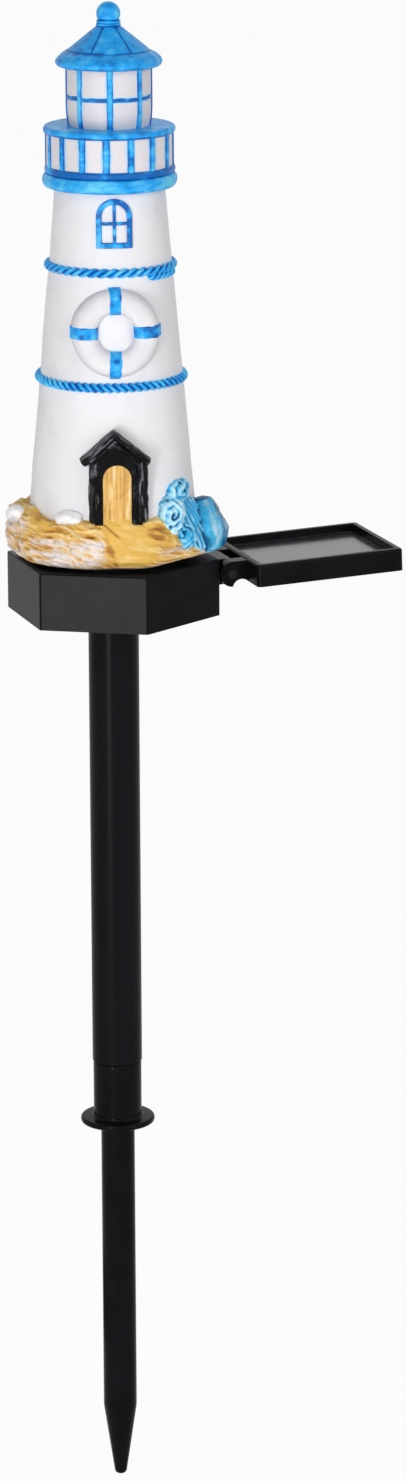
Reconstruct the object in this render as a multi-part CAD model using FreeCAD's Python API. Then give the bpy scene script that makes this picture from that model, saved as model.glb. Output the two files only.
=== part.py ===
"""Solar path light: a painted lighthouse figure on a hexagonal lamp base, with a tilting solar panel,
a pole tube and a ground stake.

Millimetres, +Z up. The origin is on the pole's axis at the underside of the stake's flange, which is
ground level, and +X points along the solar panel's arm.
"""

import FreeCAD, Part
import math
import os
from FreeCAD import Vector

# Ground stake and pole
STAKE_SHAFT_D = 11.0
STAKE_SHAFT_LENGTH = 100.0
STAKE_TIP_LENGTH = 25.0
STAKE_TIP_D = 4.0
FLANGE_D = 24.2
FLANGE_T = 2.0
COLLAR_D = 15.7
COLLAR_LENGTH = 19.0
COLLAR_FILLET = 0.9
PLUG_LENGTH = 18.0
PLUG_WALL = 2.0
POLE_D = 16.2
POLE_WALL = 1.6
POLE_LENGTH = 151.0
POLE_EDGE = 0.4
PUSH_FIT = 0.05

# Lamp base
BASE_FLATS = 60.0
BASE_HEIGHT = 18.3
BASE_WALL = 2.4
BASE_TOP_T = 2.0
BASE_CORNER_R = 0.9
BASE_EDGE_R = 0.5
PLINTH_D = 48.0
PLINTH_HEIGHT = 1.0
COVER_T = 2.0
COVER_LEDGE = 1.2
COVER_GAP = 0.15
GASKET_T = 1.0
SPIGOT_LENGTH = 18.0
SPIGOT_WALL = 2.0
SCREW_D = 2.6
SCREW_LENGTH = 9.0
SCREW_HEAD_D = 5.0
SCREW_HEAD_T = 1.1
SCREW_COUNT = 3
BOSS_D = 6.0
BOSS_GAP = 0.4
PART_GAP = 0.1

# Electronics in the base
BATTERY_D = 10.5
BATTERY_LENGTH = 30.0
BATTERY_NUB_D = 3.8
BATTERY_NUB_LENGTH = 1.0
HOLDER_WALL = 1.0
HOLDER_HEIGHT = 7.5
CONTACT_T = 0.4
CONTACT_WIDTH = 6.0
CONTACT_SPRING_ROOM = 1.6
BOARD_WIDTH = 22.0
BOARD_T = 1.2
BOARD_DROP = 5.2
BOARD_GAP = 0.6
BOARD_POST_D = 4.0
CHIP_LENGTH = 5.0
CHIP_WIDTH = 4.0
CHIP_T = 1.6
INDUCTOR_D = 6.0
INDUCTOR_HEIGHT = 5.0
INDUCTOR_CHEEK = 1.0
LED_D = 5.0
LED_LENGTH = 8.6
LED_FLANGE_D = 5.8
LED_FLANGE_T = 1.0
LED_HOLE_D = 8.0
GROMMET_LIP = 1.0
SWITCH_BODY_WIDTH = 9.0
SWITCH_BUTTON_D = 5.6
SWITCH_BUTTON_EDGE = 0.7
SWITCH_STEM_D = 3.4
SWITCH_STEM_LENGTH = 2.6
SWITCH_PROUD = 2.2
SWITCH_TRAVEL = 1.5
SWITCH_GAP = 0.3
SWITCH_TO_POLE = 2.2

# Solar panel and its hinge
HINGE_REACH = 6.6
HINGE_DROP = 7.9
KNUCKLE_R = 4.1
LUG_WIDTH = 12.0
LUG_ROOT_HEIGHT = 9.0
EAR_WIDTH = 4.6
EAR_GAP = 0.3
EAR_WAIST = 2.2
HINGE_PIN_D = 3.0
HINGE_PIN_SEAT = 0.02
HINGE_PIN_RUN = 0.06
PANEL_TILT = 2.0
TRAY_STANDOFF = 5.0
TRAY_LENGTH = 49.6
TRAY_WIDTH = 42.5
TRAY_DEPTH = 7.2
TRAY_SAG = 2.7
TRAY_WALL = 2.0
TRAY_FLOOR = 2.0
TRAY_CORNER_R = 1.5
TRAY_RIM_BEVEL = 0.7
CELL_T = 1.6
SHEET_T = 1.2

# Lighthouse tower: three bays, parted by the two ropes
FIGURE_TURN = -14.0
TOWER_FOOT_R = 27.8
TOWER_TOP_R = 17.2
TOWER_WALL = 3.0
TOWER_NECK_R = 21.0
TOWER_SEAT_HEIGHT = 4.2
DOOR_BAY = 57.4
RING_BAY = 35.5
WINDOW_BAY = 24.6
GLUE_GAP = 0.1
LOWER_ROPE_D = 3.2
UPPER_ROPE_D = 3.1
ROPE_TAIL_DROP = 1.6
ROPE_TAIL_START = -58.0
ROPE_TAIL_SWEEP = 44.0
RING_TO_ROPE = 2.3
RING_DROP = 0.7
RING_HOLE_D = 12.0
RING_RELIEF = 3.3
RING_SHOULDER = 0.8
RING_BANDS = 4
BAND_WIDTH = 4.1
BAND_T = 0.35
WINDOW_WIDTH = 11.3
WINDOW_SILL_GAP = 6.2
WINDOW_HEAD_GAP = 1.6
WINDOW_FRAME = 1.7
WINDOW_BAR = 1.0
WINDOW_RELIEF = 0.8

# Porch and door
PORCH_TO_ROPE = 12.5
PORCH_EAVE_WIDTH = 21.4
PORCH_EAVE_SHIFT = 0.8
PORCH_PEAK_SHIFT = 1.4
PORCH_GABLE = 9.4
PORCH_ROOF_T = 2.6
PORCH_ROOF_RELIEF = 3.0
PORCH_RAFTER_T = 1.8
PORCH_RAFTER_RELIEF = 2.3
PORCH_POST_INSET = 1.1
PORCH_POST_WIDTH = 3.6
PORCH_POST_RELIEF = 1.9
PORCH_PANEL_RELIEF = 1.0
DOOR_WIDTH = 9.8
DOOR_HEAD_GAP = 1.8
DOOR_RELIEF = 0.5
DOOR_PLANKS = 4
DOOR_GROOVE = 0.4

# Rocks, stones and wave
ROCK_HEIGHT = 16.7
ROCK_HALF_WIDTH = 33.6
ROCK_HALF_DEPTH = 29.2
ROCK_TOP_INSET = 1.4
ROCK_FOOT_INSET = 4.0
ROCK_RIPPLE = 0.6
ROCK_BULGES = 5
ROCK_NOTCHES = 9
ROCK_NOTCH = 0.36
ROCK_RIPPLE_TURN = 0.6
ROCK_POINTS = 30
ROCK_FALL_START = 11.0
ROCK_FALL_ANGLE = 36.0
HUMP_D = 10.0
HUMP_RISE = 3.0
HUMP_ANGLE = 178.0
STONE_D = 8.4
STONE_ANGLE = -123.0
SHOULDER_STONE_D = 6.8
SHOULDER_STONE_DROP = 3.2
SHOULDER_STONE_ANGLE = -170.0
WAVE_HEIGHT = 20.7
WAVE_WIDTH = 16.0
WAVE_DEPTH = 11.0
WAVE_LEAN = 3.0
WAVE_ANGLE = -17.0
WAVE_SECTIONS = ((0.0, 0.5, 0.9), (0.4, 0.0, 1.0), (0.75, 0.33, 0.85), (1.0, 1.0, 0.4))
SPILL_HEIGHT = 14.0
SPILL_ANGLE = -40.0
SPILL_SECTIONS = ((0.0, 0.5, 0.8), (0.5, 0.5, 0.8), (1.0, 1.5, 0.6))
CURL_D = 11.6
CURL_T = 5.0
CURL_GROOVE = 0.7
CURL_PITCH = 2.2
CURL_TURNS = 2
CURL_ANGLE = -48.0
FOAM_D = 8.0
FOAM_ANGLE = -38.0

# Gallery, lantern and roof
DECK_R = 21.1
DECK_HEIGHT = 6.7
DECK_SPIGOT = 3.0
LIGHT_HOLE_R = 9.0
DRUM_SET_BACK = 1.4
DRUM_HEIGHT = 10.0
DRUM_WALL = 2.5
RAIL_SET_BACK = 0.4
RAIL_T = 2.4
RAIL_POSTS = 16
RAIL_POST_WIDTH = 2.1
RAIL_POST_RELIEF = 0.45
RAIL_TURN = -7.0
LANTERN_R = 13.1
LANTERN_FOOT_R = 12.5
LANTERN_HEIGHT = 18.2
LANTERN_WALL = 1.8
LANTERN_BARS = 8
LANTERN_BAR_WIDTH = 1.8
LANTERN_RING_HEIGHT = 1.3
LANTERN_BAR_RELIEF = 0.45
LANTERN_TURN = -3.0
ROOF_EAVE_R = 16.4
ROOF_EAVE_HEIGHT = 5.2
ROOF_ROLL_R = 1.55
ROOF_GROOVE_R = 12.8
ROOF_GROOVE = 0.35
ROOF_HEIGHT = 12.4
ROOF_SEAMS = 6
FINIAL_COLLAR_R = 3.9
FINIAL_COLLAR_HEIGHT = 2.0
FINIAL_BALL_R = 3.75
FINIAL_PEG_D = 3.0
FINIAL_PEG_LENGTH = 4.0

# Levels and places that follow from the sizes
POLE_BOTTOM = FLANGE_T + COLLAR_LENGTH
POLE_BORE_D = POLE_D - 2 * POLE_WALL
BASE_BOTTOM = POLE_BOTTOM + POLE_LENGTH
BASE_SHOULDER = BASE_BOTTOM + BASE_HEIGHT
BASE_TOP = BASE_SHOULDER + PLINTH_HEIGHT
BASE_CEILING = BASE_SHOULDER - BASE_TOP_T
COVER_TOP = BASE_BOTTOM + COVER_T
CAVITY_FLATS = BASE_FLATS - 2 * BASE_WALL
RECESS_FLATS = CAVITY_FLATS + 2 * COVER_LEDGE
BOSS_REACH = (CAVITY_FLATS / 2 - BOSS_D / 2 - BOSS_GAP) / math.cos(math.radians(30))
BOSS_X = BOSS_REACH * math.cos(math.radians(30))
HOLDER_WIDTH = BATTERY_D + 2 * (PART_GAP + HOLDER_WALL)
HOLDER_ROOM = BATTERY_LENGTH + CONTACT_T + CONTACT_SPRING_ROOM + PART_GAP
HOLDER_X = HOLDER_WIDTH / 2 + BOSS_D / 2 + BOARD_GAP - BOSS_X
BATTERY_Z = COVER_TOP + HOLDER_WALL + BATTERY_D / 2 + PART_GAP
BOARD_LEFT = HOLDER_X + HOLDER_WIDTH / 2 + BOARD_GAP
BOARD_RIGHT = BOSS_X - BOSS_D / 2 - BOARD_GAP
BOARD_TOP = BASE_CEILING - BOARD_DROP
BOARD_BOTTOM = BOARD_TOP - BOARD_T
SWITCH_X = (POLE_D + SWITCH_BUTTON_D) / 2 + SWITCH_TO_POLE
HINGE_X = BASE_FLATS / 2 + HINGE_REACH
HINGE_Z = BASE_TOP - HINGE_DROP
EAR_INNER = LUG_WIDTH / 2 + EAR_GAP
EAR_OUTER = EAR_INNER + EAR_WIDTH
TRAY_NEAR = HINGE_X + TRAY_STANDOFF
TRAY_FAR = TRAY_NEAR + TRAY_LENGTH
TRAY_BOTTOM = HINGE_Z - TRAY_SAG
TRAY_TOP = TRAY_BOTTOM + TRAY_DEPTH
CELL_BOTTOM = TRAY_BOTTOM + TRAY_FLOOR
SHEET_BOTTOM = CELL_BOTTOM + CELL_T
TOWER_HEIGHT = DOOR_BAY + RING_BAY + WINDOW_BAY
TOWER_TOP = BASE_TOP + TOWER_HEIGHT
TOWER_SEAT = BASE_TOP + TOWER_SEAT_HEIGHT
LOWER_ROPE_Z = BASE_TOP + DOOR_BAY
UPPER_ROPE_Z = LOWER_ROPE_Z + RING_BAY
ROCK_TOP = BASE_TOP + ROCK_HEIGHT
PORCH_PEAK = LOWER_ROPE_Z - PORCH_TO_ROPE
PORCH_EAVE = PORCH_PEAK - PORCH_GABLE
DECK_TOP = TOWER_TOP + DECK_HEIGHT
DRUM_R = DECK_R - DRUM_SET_BACK
RAIL_R = DECK_R - RAIL_SET_BACK
DRUM_TOP = DECK_TOP + DRUM_HEIGHT
RAIL_TOP = DRUM_TOP + RAIL_T
LANTERN_TOP = RAIL_TOP + LANTERN_HEIGHT
ROOF_TOP = LANTERN_TOP + ROOF_HEIGHT

ORIGIN = Vector(0, 0, 0)
UP = Vector(0, 0, 1)


def save(node, shape):
    shape.exportStep("parts/" + node + ".step")


def cylinder(diameter, bottom, top, x=0.0, y=0.0):
    return Part.makeCylinder(diameter / 2, top - bottom, Vector(x, y, bottom))


def box(left, right, front, back, bottom, top):
    return Part.makeBox(right - left, back - front, top - bottom, Vector(left, front, bottom))


def face_xz(start, *steps):
    """Flat face in the XZ plane. A step is a corner, or two points: an arc through one to the other."""
    edges = []
    here = Vector(start[0], 0, start[1])
    for step in steps + (start,):
        if isinstance(step[0], tuple):
            through = Vector(step[0][0], 0, step[0][1])
            end = Vector(step[1][0], 0, step[1][1])
            edges.append(Part.Arc(here, through, end).toShape())
        else:
            end = Vector(step[0], 0, step[1])
            edges.append(Part.makeLine(here, end))
        here = end
    return Part.Face(Part.Wire(edges))


def revolved(start, *steps):
    """Solid of revolution about the Z axis, from an outline of (radius, height) points."""
    return face_xz(start, *steps).revolve(ORIGIN, UP, 360)


def along_y(face, front, back):
    """Prism of an XZ face, from y = front to y = back."""
    prism = face.extrude(Vector(0, back - front, 0))
    prism.translate(Vector(0, front, 0))
    return prism


def hexagon(flats, bottom, top):
    """Hexagonal prism with a flat towards +X."""
    corner = flats / math.sqrt(3)
    angles = [math.radians(30 + 60 * side) for side in range(7)]
    points = [Vector(corner * math.cos(a), corner * math.sin(a), bottom) for a in angles]
    return Part.Face(Part.makePolygon(points)).extrude(Vector(0, 0, top - bottom))


def on_figure(shape):
    """Turns a piece that was made facing -Y to the way the figure faces."""
    return shape.rotated(ORIGIN, UP, FIGURE_TURN)


def around(shape, count, first=0.0):
    """Copies of a shape, evenly spaced about the Z axis, as one shape."""
    copies = [shape.rotated(ORIGIN, UP, first + 360 * n / count) for n in range(count)]
    return copies[0].fuse(copies[1:])


def ground_stake():
    """Pointed shaft, round flange, collar and hollow plug that the pole slides over."""
    shaft = STAKE_SHAFT_D / 2
    tip = STAKE_TIP_D / 2
    flange = FLANGE_D / 2
    collar = COLLAR_D / 2
    plug = POLE_BORE_D / 2 - PUSH_FIT
    core = plug - PLUG_WALL
    point = -STAKE_SHAFT_LENGTH - STAKE_TIP_LENGTH
    round_in = tip * math.sin(math.radians(45))
    return revolved(
        (0, point),
        ((round_in, point + tip - round_in), (tip, point + tip)),
        (shaft, -STAKE_SHAFT_LENGTH),
        (shaft, 0),
        (flange - FLANGE_T / 2, 0),
        ((flange, FLANGE_T / 2), (flange - FLANGE_T / 2, FLANGE_T)),
        (collar + COLLAR_FILLET, FLANGE_T),
        (collar, FLANGE_T + COLLAR_FILLET),
        (collar, POLE_BOTTOM),
        (plug, POLE_BOTTOM),
        (plug, POLE_BOTTOM + PLUG_LENGTH - PLUG_WALL / 2),
        (plug - PLUG_WALL / 2, POLE_BOTTOM + PLUG_LENGTH),
        (core, POLE_BOTTOM + PLUG_LENGTH),
        (core, FLANGE_T),
        (0, FLANGE_T),
    )


def pole_tube():
    outer = POLE_D / 2
    bore = POLE_BORE_D / 2
    return revolved(
        (bore, POLE_BOTTOM),
        (outer - POLE_EDGE, POLE_BOTTOM),
        (outer, POLE_BOTTOM + POLE_EDGE),
        (outer, BASE_BOTTOM - POLE_EDGE),
        (outer - POLE_EDGE, BASE_BOTTOM),
        (bore, BASE_BOTTOM),
    )


def boss_places():
    """Centres of the cover screws, in alternate corners of the base."""
    angles = [math.radians(90 + 360 * n / SCREW_COUNT) for n in range(SCREW_COUNT)]
    return [(BOSS_REACH * math.cos(a), BOSS_REACH * math.sin(a)) for a in angles]


def hinge_lug():
    """Tapered lug on the +X flat, with a round end at the hinge pin."""
    root = BASE_FLATS / 2 - BASE_WALL / 2
    top = LUG_ROOT_HEIGHT / 2
    lug = face_xz(
        (root, HINGE_Z - top),
        (BASE_FLATS / 2, HINGE_Z - top),
        (HINGE_X, HINGE_Z - KNUCKLE_R),
        ((HINGE_X + KNUCKLE_R, HINGE_Z), (HINGE_X, HINGE_Z + KNUCKLE_R)),
        (root, HINGE_Z + KNUCKLE_R),
    )
    return along_y(lug, -LUG_WIDTH / 2, LUG_WIDTH / 2)


def hinge_bore(clearance):
    reach = EAR_OUTER + EAR_GAP
    start = Vector(HINGE_X, -reach, HINGE_Z)
    return Part.makeCylinder(HINGE_PIN_D / 2 + clearance, 2 * reach, start, Vector(0, 1, 0))


def base_housing():
    """Hexagonal cap, open below, with a low plinth, a ledge for the gasket, bosses and the hinge lug."""
    block = hexagon(BASE_FLATS, BASE_BOTTOM, BASE_SHOULDER)
    upright = [e for e in block.Edges if abs(e.Vertexes[0].Z - e.Vertexes[1].Z) > BASE_HEIGHT / 2]
    block = block.makeFillet(BASE_CORNER_R, upright)
    rim = [e for e in block.Edges if e.BoundBox.ZMin > BASE_SHOULDER - BASE_EDGE_R]
    block = block.makeFillet(BASE_EDGE_R, rim)
    shell = block.fuse([hinge_lug(), cylinder(PLINTH_D, BASE_CEILING, BASE_TOP)])
    shell = shell.cut(hexagon(CAVITY_FLATS, BASE_BOTTOM, BASE_CEILING))
    shell = shell.cut(hexagon(RECESS_FLATS, BASE_BOTTOM, COVER_TOP + GASKET_T))
    shell = shell.cut(cylinder(LED_HOLE_D, BASE_CEILING, BASE_TOP))
    shell = shell.cut(hinge_bore(HINGE_PIN_SEAT))
    for x, y in boss_places():
        shell = shell.fuse(cylinder(BOSS_D, COVER_TOP, BASE_CEILING, x, y))
        shell = shell.cut(cylinder(SCREW_D + 2 * PUSH_FIT, COVER_TOP, COVER_TOP + SCREW_LENGTH, x, y))
    return shell.removeSplitter()


def base_cover():
    """Bottom plate with the spigot that goes into the pole, and posts for the circuit board."""
    plate = hexagon(RECESS_FLATS - 2 * COVER_GAP, BASE_BOTTOM, COVER_TOP)
    spigot_d = POLE_BORE_D - 2 * PUSH_FIT
    spigot = cylinder(spigot_d, BASE_BOTTOM - SPIGOT_LENGTH, BASE_BOTTOM)
    spigot = spigot.cut(cylinder(spigot_d - 2 * SPIGOT_WALL, BASE_BOTTOM - SPIGOT_LENGTH, BASE_BOTTOM))
    cover = plate.fuse(spigot)
    for x, y in boss_places():
        cover = cover.cut(cylinder(SCREW_D + 2 * PART_GAP, BASE_BOTTOM, COVER_TOP, x, y))
        head = SCREW_HEAD_D + 2 * PART_GAP
        cover = cover.cut(cylinder(head, BASE_BOTTOM, BASE_BOTTOM + SCREW_HEAD_T, x, y))
    cover = cover.cut(cylinder(SWITCH_BUTTON_D + 2 * SWITCH_GAP, BASE_BOTTOM, COVER_TOP, SWITCH_X))
    for x, y in board_posts():
        cover = cover.fuse(cylinder(BOARD_POST_D, COVER_TOP, BOARD_BOTTOM, x, y))
    return cover.removeSplitter()


def cover_gasket():
    ring = hexagon(RECESS_FLATS - 2 * COVER_GAP, COVER_TOP, COVER_TOP + GASKET_T)
    return ring.cut(hexagon(CAVITY_FLATS, COVER_TOP, COVER_TOP + GASKET_T))


def cover_screws():
    screws = []
    for x, y in boss_places():
        head = cylinder(SCREW_HEAD_D, BASE_BOTTOM, BASE_BOTTOM + SCREW_HEAD_T, x, y)
        shank_end = COVER_TOP + SCREW_LENGTH - SCREW_D / 2
        screws.append(head.fuse(cylinder(SCREW_D, BASE_BOTTOM, shank_end, x, y)).removeSplitter())
    return Part.makeCompound(screws)


def battery_holder():
    """Open cradle on the cover, with an end wall behind each contact."""
    half = HOLDER_ROOM / 2
    left = HOLDER_X - HOLDER_WIDTH / 2
    right = HOLDER_X + HOLDER_WIDTH / 2
    top = COVER_TOP + HOLDER_HEIGHT
    cradle = box(left, right, -half - HOLDER_WALL, half + HOLDER_WALL, COVER_TOP, top)
    return cradle.cut(
        box(left + HOLDER_WALL, right - HOLDER_WALL, -half, half, COVER_TOP + HOLDER_WALL, top)
    )


def battery():
    """Small rechargeable cell, lying along Y with its positive nub on the plate contact."""
    positive = HOLDER_ROOM / 2 - CONTACT_T
    shoulder = positive - BATTERY_NUB_LENGTH
    start = positive - BATTERY_LENGTH
    can = Part.makeCylinder(
        BATTERY_D / 2, shoulder - start, Vector(HOLDER_X, start, BATTERY_Z), Vector(0, 1, 0)
    )
    nub = Part.makeCylinder(
        BATTERY_NUB_D / 2, positive - start, Vector(HOLDER_X, start, BATTERY_Z), Vector(0, 1, 0)
    )
    return can.fuse(nub).removeSplitter()


def positive_contact():
    wall = HOLDER_ROOM / 2
    left = HOLDER_X - CONTACT_WIDTH / 2
    floor = COVER_TOP + HOLDER_WALL
    return box(left, left + CONTACT_WIDTH, wall - CONTACT_T, wall, floor, BATTERY_Z + BATTERY_D / 4)


def negative_contact():
    """Folded leaf: up the end wall, over, and down again to press on the battery's flat end."""
    wall = -HOLDER_ROOM / 2
    press = HOLDER_ROOM / 2 - CONTACT_T - BATTERY_LENGTH
    floor = COVER_TOP + HOLDER_WALL
    fold = BATTERY_Z + BATTERY_D / 4
    points = [
        Vector(0, wall, floor),
        Vector(0, wall, fold + CONTACT_T),
        Vector(0, wall + 2 * CONTACT_T, fold + CONTACT_T),
        Vector(0, press, BATTERY_Z),
        Vector(0, press - CONTACT_T, BATTERY_Z - CONTACT_T),
        Vector(0, wall + CONTACT_T, fold - CONTACT_T),
        Vector(0, wall + CONTACT_T, floor),
        Vector(0, wall, floor),
    ]
    leaf = Part.Face(Part.makePolygon(points)).extrude(Vector(CONTACT_WIDTH, 0, 0))
    leaf.translate(Vector(HOLDER_X - CONTACT_WIDTH / 2, 0, 0))
    return leaf


def board_posts():
    x = BOARD_RIGHT - BOARD_POST_D / 2
    y = BOARD_WIDTH / 2 - BOARD_POST_D / 2
    return [(x, -y), (x, y)]


def circuit_board():
    half = BOARD_WIDTH / 2
    return box(BOARD_LEFT, BOARD_RIGHT, -half, half, BOARD_BOTTOM, BOARD_TOP)


def driver_chip():
    x = (BOARD_LEFT + BOARD_RIGHT) / 2
    y = BOARD_WIDTH / 4
    return box(x, x + CHIP_LENGTH, y, y + CHIP_WIDTH, BOARD_TOP, BOARD_TOP + CHIP_T)


def inductor():
    """Drum coil: two round cheeks and a narrower winding between them."""
    x = (BOARD_LEFT + BOARD_RIGHT) / 2 + INDUCTOR_D / 2
    y = -BOARD_WIDTH / 4
    top = BOARD_TOP + INDUCTOR_HEIGHT
    drum = cylinder(INDUCTOR_D - INDUCTOR_CHEEK, BOARD_TOP, top, x, y)
    drum = drum.fuse(cylinder(INDUCTOR_D, BOARD_TOP, BOARD_TOP + INDUCTOR_CHEEK, x, y))
    return drum.fuse(cylinder(INDUCTOR_D, top - INDUCTOR_CHEEK, top, x, y)).removeSplitter()


def led():
    """Round LED on the board, with its dome up in the foot of the tower."""
    dome = BOARD_TOP + LED_LENGTH - LED_D / 2
    body = cylinder(LED_D, BOARD_TOP, dome).fuse(Part.makeSphere(LED_D / 2, Vector(0, 0, dome)))
    return body.fuse(cylinder(LED_FLANGE_D, BOARD_TOP, BOARD_TOP + LED_FLANGE_T)).removeSplitter()


def led_grommet():
    """Rubber ring that seals the LED in the top of the base."""
    lip = cylinder(LED_HOLE_D + 2 * GROMMET_LIP, BASE_CEILING - GROMMET_LIP, BASE_CEILING)
    ring = lip.fuse(cylinder(LED_HOLE_D - 2 * PUSH_FIT, BASE_CEILING - GROMMET_LIP, BASE_TOP))
    bore = cylinder(LED_D + 2 * PUSH_FIT, BASE_CEILING - GROMMET_LIP, BASE_TOP)
    return ring.cut(bore).removeSplitter()


def switch_body():
    """Square switch between cover and board, bored for the button's head and stem."""
    half = SWITCH_BODY_WIDTH / 2
    body = box(SWITCH_X - half, SWITCH_X + half, -half, half, COVER_TOP, BOARD_BOTTOM)
    head_room = COVER_TOP + SWITCH_TRAVEL + SWITCH_GAP
    body = body.cut(cylinder(SWITCH_BUTTON_D + 2 * SWITCH_GAP, COVER_TOP, head_room, SWITCH_X))
    stem_room = COVER_TOP + SWITCH_STEM_LENGTH + SWITCH_TRAVEL + SWITCH_GAP
    return body.cut(cylinder(SWITCH_STEM_D + 2 * SWITCH_GAP, COVER_TOP, stem_room, SWITCH_X))


def switch_button():
    """Push button that stands proud below the cover and slides up into the switch."""
    head = cylinder(SWITCH_BUTTON_D, BASE_BOTTOM - SWITCH_PROUD, COVER_TOP, SWITCH_X)
    below = [e for e in head.Edges if e.BoundBox.ZMax < BASE_BOTTOM]
    head = head.makeFillet(SWITCH_BUTTON_EDGE, below)
    stem = cylinder(SWITCH_STEM_D, BASE_BOTTOM, COVER_TOP + SWITCH_STEM_LENGTH, SWITCH_X)
    return head.fuse(stem).removeSplitter()


def hinge_pin():
    length = 2 * EAR_OUTER
    start = Vector(HINGE_X, -EAR_OUTER, HINGE_Z)
    return Part.makeCylinder(HINGE_PIN_D / 2, length, start, Vector(0, 1, 0))


def tilted(shape):
    """Turns a panel piece, made level, up about the hinge pin."""
    return shape.rotated(Vector(HINGE_X, 0, HINGE_Z), Vector(0, -1, 0), PANEL_TILT)


def hinge_ear(side):
    """Ear on the tray: a round end at the pin, a waist below, flaring to the tray's bottom edge."""
    waist_x = HINGE_X + TRAY_STANDOFF * 2 / 3
    ear = face_xz(
        (HINGE_X, HINGE_Z + KNUCKLE_R),
        ((HINGE_X - KNUCKLE_R, HINGE_Z), (HINGE_X, HINGE_Z - KNUCKLE_R)),
        ((waist_x, HINGE_Z - KNUCKLE_R + EAR_WAIST), (TRAY_NEAR, TRAY_BOTTOM)),
        (TRAY_NEAR + TRAY_WALL / 2, TRAY_BOTTOM),
        (TRAY_NEAR + TRAY_WALL / 2, HINGE_Z + KNUCKLE_R),
    )
    inner, outer = sorted((side * EAR_INNER, side * EAR_OUTER))
    return along_y(ear, inner, outer)


def tray_block(inset, bottom, top):
    """Rounded rectangle of the tray's plan, drawn in by inset."""
    half = TRAY_WIDTH / 2 - inset
    block = box(TRAY_NEAR + inset, TRAY_FAR - inset, -half, half, bottom, top)
    upright = [e for e in block.Edges if abs(e.Vertexes[0].Z - e.Vertexes[1].Z) > (top - bottom) / 2]
    return block.makeFillet(TRAY_CORNER_R - inset / 2, upright)


def panel_tray():
    """Shallow tray with a bevelled rim and the two hinge ears."""
    tray = tray_block(0, TRAY_BOTTOM, TRAY_TOP)
    rim = [e for e in tray.Edges if e.BoundBox.ZMin > TRAY_TOP - TRAY_RIM_BEVEL]
    tray = tray.makeFillet(TRAY_RIM_BEVEL, rim)
    tray = tray.fuse([hinge_ear(-1), hinge_ear(1)])
    tray = tray.cut(tray_block(TRAY_WALL, CELL_BOTTOM, TRAY_TOP))
    return tilted(tray.cut(hinge_bore(HINGE_PIN_RUN)).removeSplitter())


def solar_cell():
    return tilted(tray_block(TRAY_WALL + PART_GAP, CELL_BOTTOM, SHEET_BOTTOM))


def panel_sheet():
    """Clear sheet that seals the cell into its tray."""
    return tilted(tray_block(TRAY_WALL + PART_GAP, SHEET_BOTTOM, SHEET_BOTTOM + SHEET_T))


def tower_radius(z):
    return TOWER_FOOT_R + (TOWER_TOP_R - TOWER_FOOT_R) * (z - BASE_TOP) / TOWER_HEIGHT


def tower_cone(offset):
    """The tower's outside as a solid cone, swollen or shrunk by offset."""
    return Part.makeCone(
        TOWER_FOOT_R + offset, TOWER_TOP_R + offset, TOWER_HEIGHT, Vector(0, 0, BASE_TOP), UP
    )


def tower_shell():
    """Hollow cone that seats on the rock, with a narrower neck down to the base."""
    floor = TOWER_SEAT + TOWER_WALL
    return revolved(
        (TOWER_NECK_R - TOWER_WALL, BASE_TOP),
        (TOWER_NECK_R, BASE_TOP),
        (TOWER_NECK_R, TOWER_SEAT),
        (tower_radius(TOWER_SEAT), TOWER_SEAT),
        (TOWER_TOP_R, TOWER_TOP),
        (TOWER_TOP_R - TOWER_WALL, TOWER_TOP),
        (tower_radius(floor) - TOWER_WALL, floor),
        (TOWER_NECK_R - TOWER_WALL, floor),
    )


def tower_room():
    """Space that the tower takes up in the rock, with a gap for glue."""
    seat = TOWER_SEAT - GLUE_GAP
    return revolved(
        (0, BASE_BOTTOM),
        (TOWER_NECK_R + GLUE_GAP, BASE_BOTTOM),
        (TOWER_NECK_R + GLUE_GAP, seat),
        (tower_radius(seat) + GLUE_GAP, seat),
        (TOWER_TOP_R + GLUE_GAP, TOWER_TOP),
        (0, TOWER_TOP),
    )


def rope(z, diameter):
    """Rope laid round the tower: half of it stands out from the wall."""
    ring = Part.makeTorus(tower_radius(z), diameter / 2, Vector(0, 0, z))
    return ring.cut(tower_cone(GLUE_GAP))


def rope_tail():
    """The upper rope's loose end, laid below it at the right, with round ends."""
    z = UPPER_ROPE_Z - ROPE_TAIL_DROP
    reach = tower_radius(z)
    tail = Part.makeTorus(reach, UPPER_ROPE_D / 2, Vector(0, 0, z), UP, -180, 180, ROPE_TAIL_SWEEP)
    tail.rotate(ORIGIN, UP, ROPE_TAIL_START)
    ends = [ROPE_TAIL_START, ROPE_TAIL_START + ROPE_TAIL_SWEEP]
    tail = tail.fuse([Part.makeSphere(UPPER_ROPE_D / 2, polar(end, reach, z)) for end in ends])
    return tail.cut(tower_cone(GLUE_GAP))


def upper_rope():
    return rope(UPPER_ROPE_Z, UPPER_ROPE_D).fuse(rope_tail()).removeSplitter()


def ring_size():
    """Outer diameter of the life ring: it fills the bay between the ropes."""
    return RING_BAY - (LOWER_ROPE_D + UPPER_ROPE_D) / 2 - 2 * RING_TO_ROPE


def ring_solid(swell):
    """Round-backed ring about Z, grown by swell, with its back at z = 0 drawn out to reach the wall."""
    outer = ring_size() / 2 + swell
    inner = RING_HOLE_D / 2 - swell
    back = -ring_size() / 2
    return revolved(
        (inner, back),
        (inner, RING_SHOULDER),
        (((inner + outer) / 2, RING_RELIEF + swell), (outer, RING_SHOULDER)),
        (outer, back),
    )


def on_tower_front(shape, z):
    """Moves a piece made about Z to the front of the tower at height z, square to its sloping wall."""
    slope = math.degrees(math.atan2(TOWER_FOOT_R - TOWER_TOP_R, TOWER_HEIGHT))
    placed = shape.rotated(ORIGIN, Vector(1, 0, 0), 90 - slope)
    placed.translate(Vector(0, -tower_radius(z), z))
    return on_figure(placed.cut(tower_cone(GLUE_GAP)))


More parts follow.
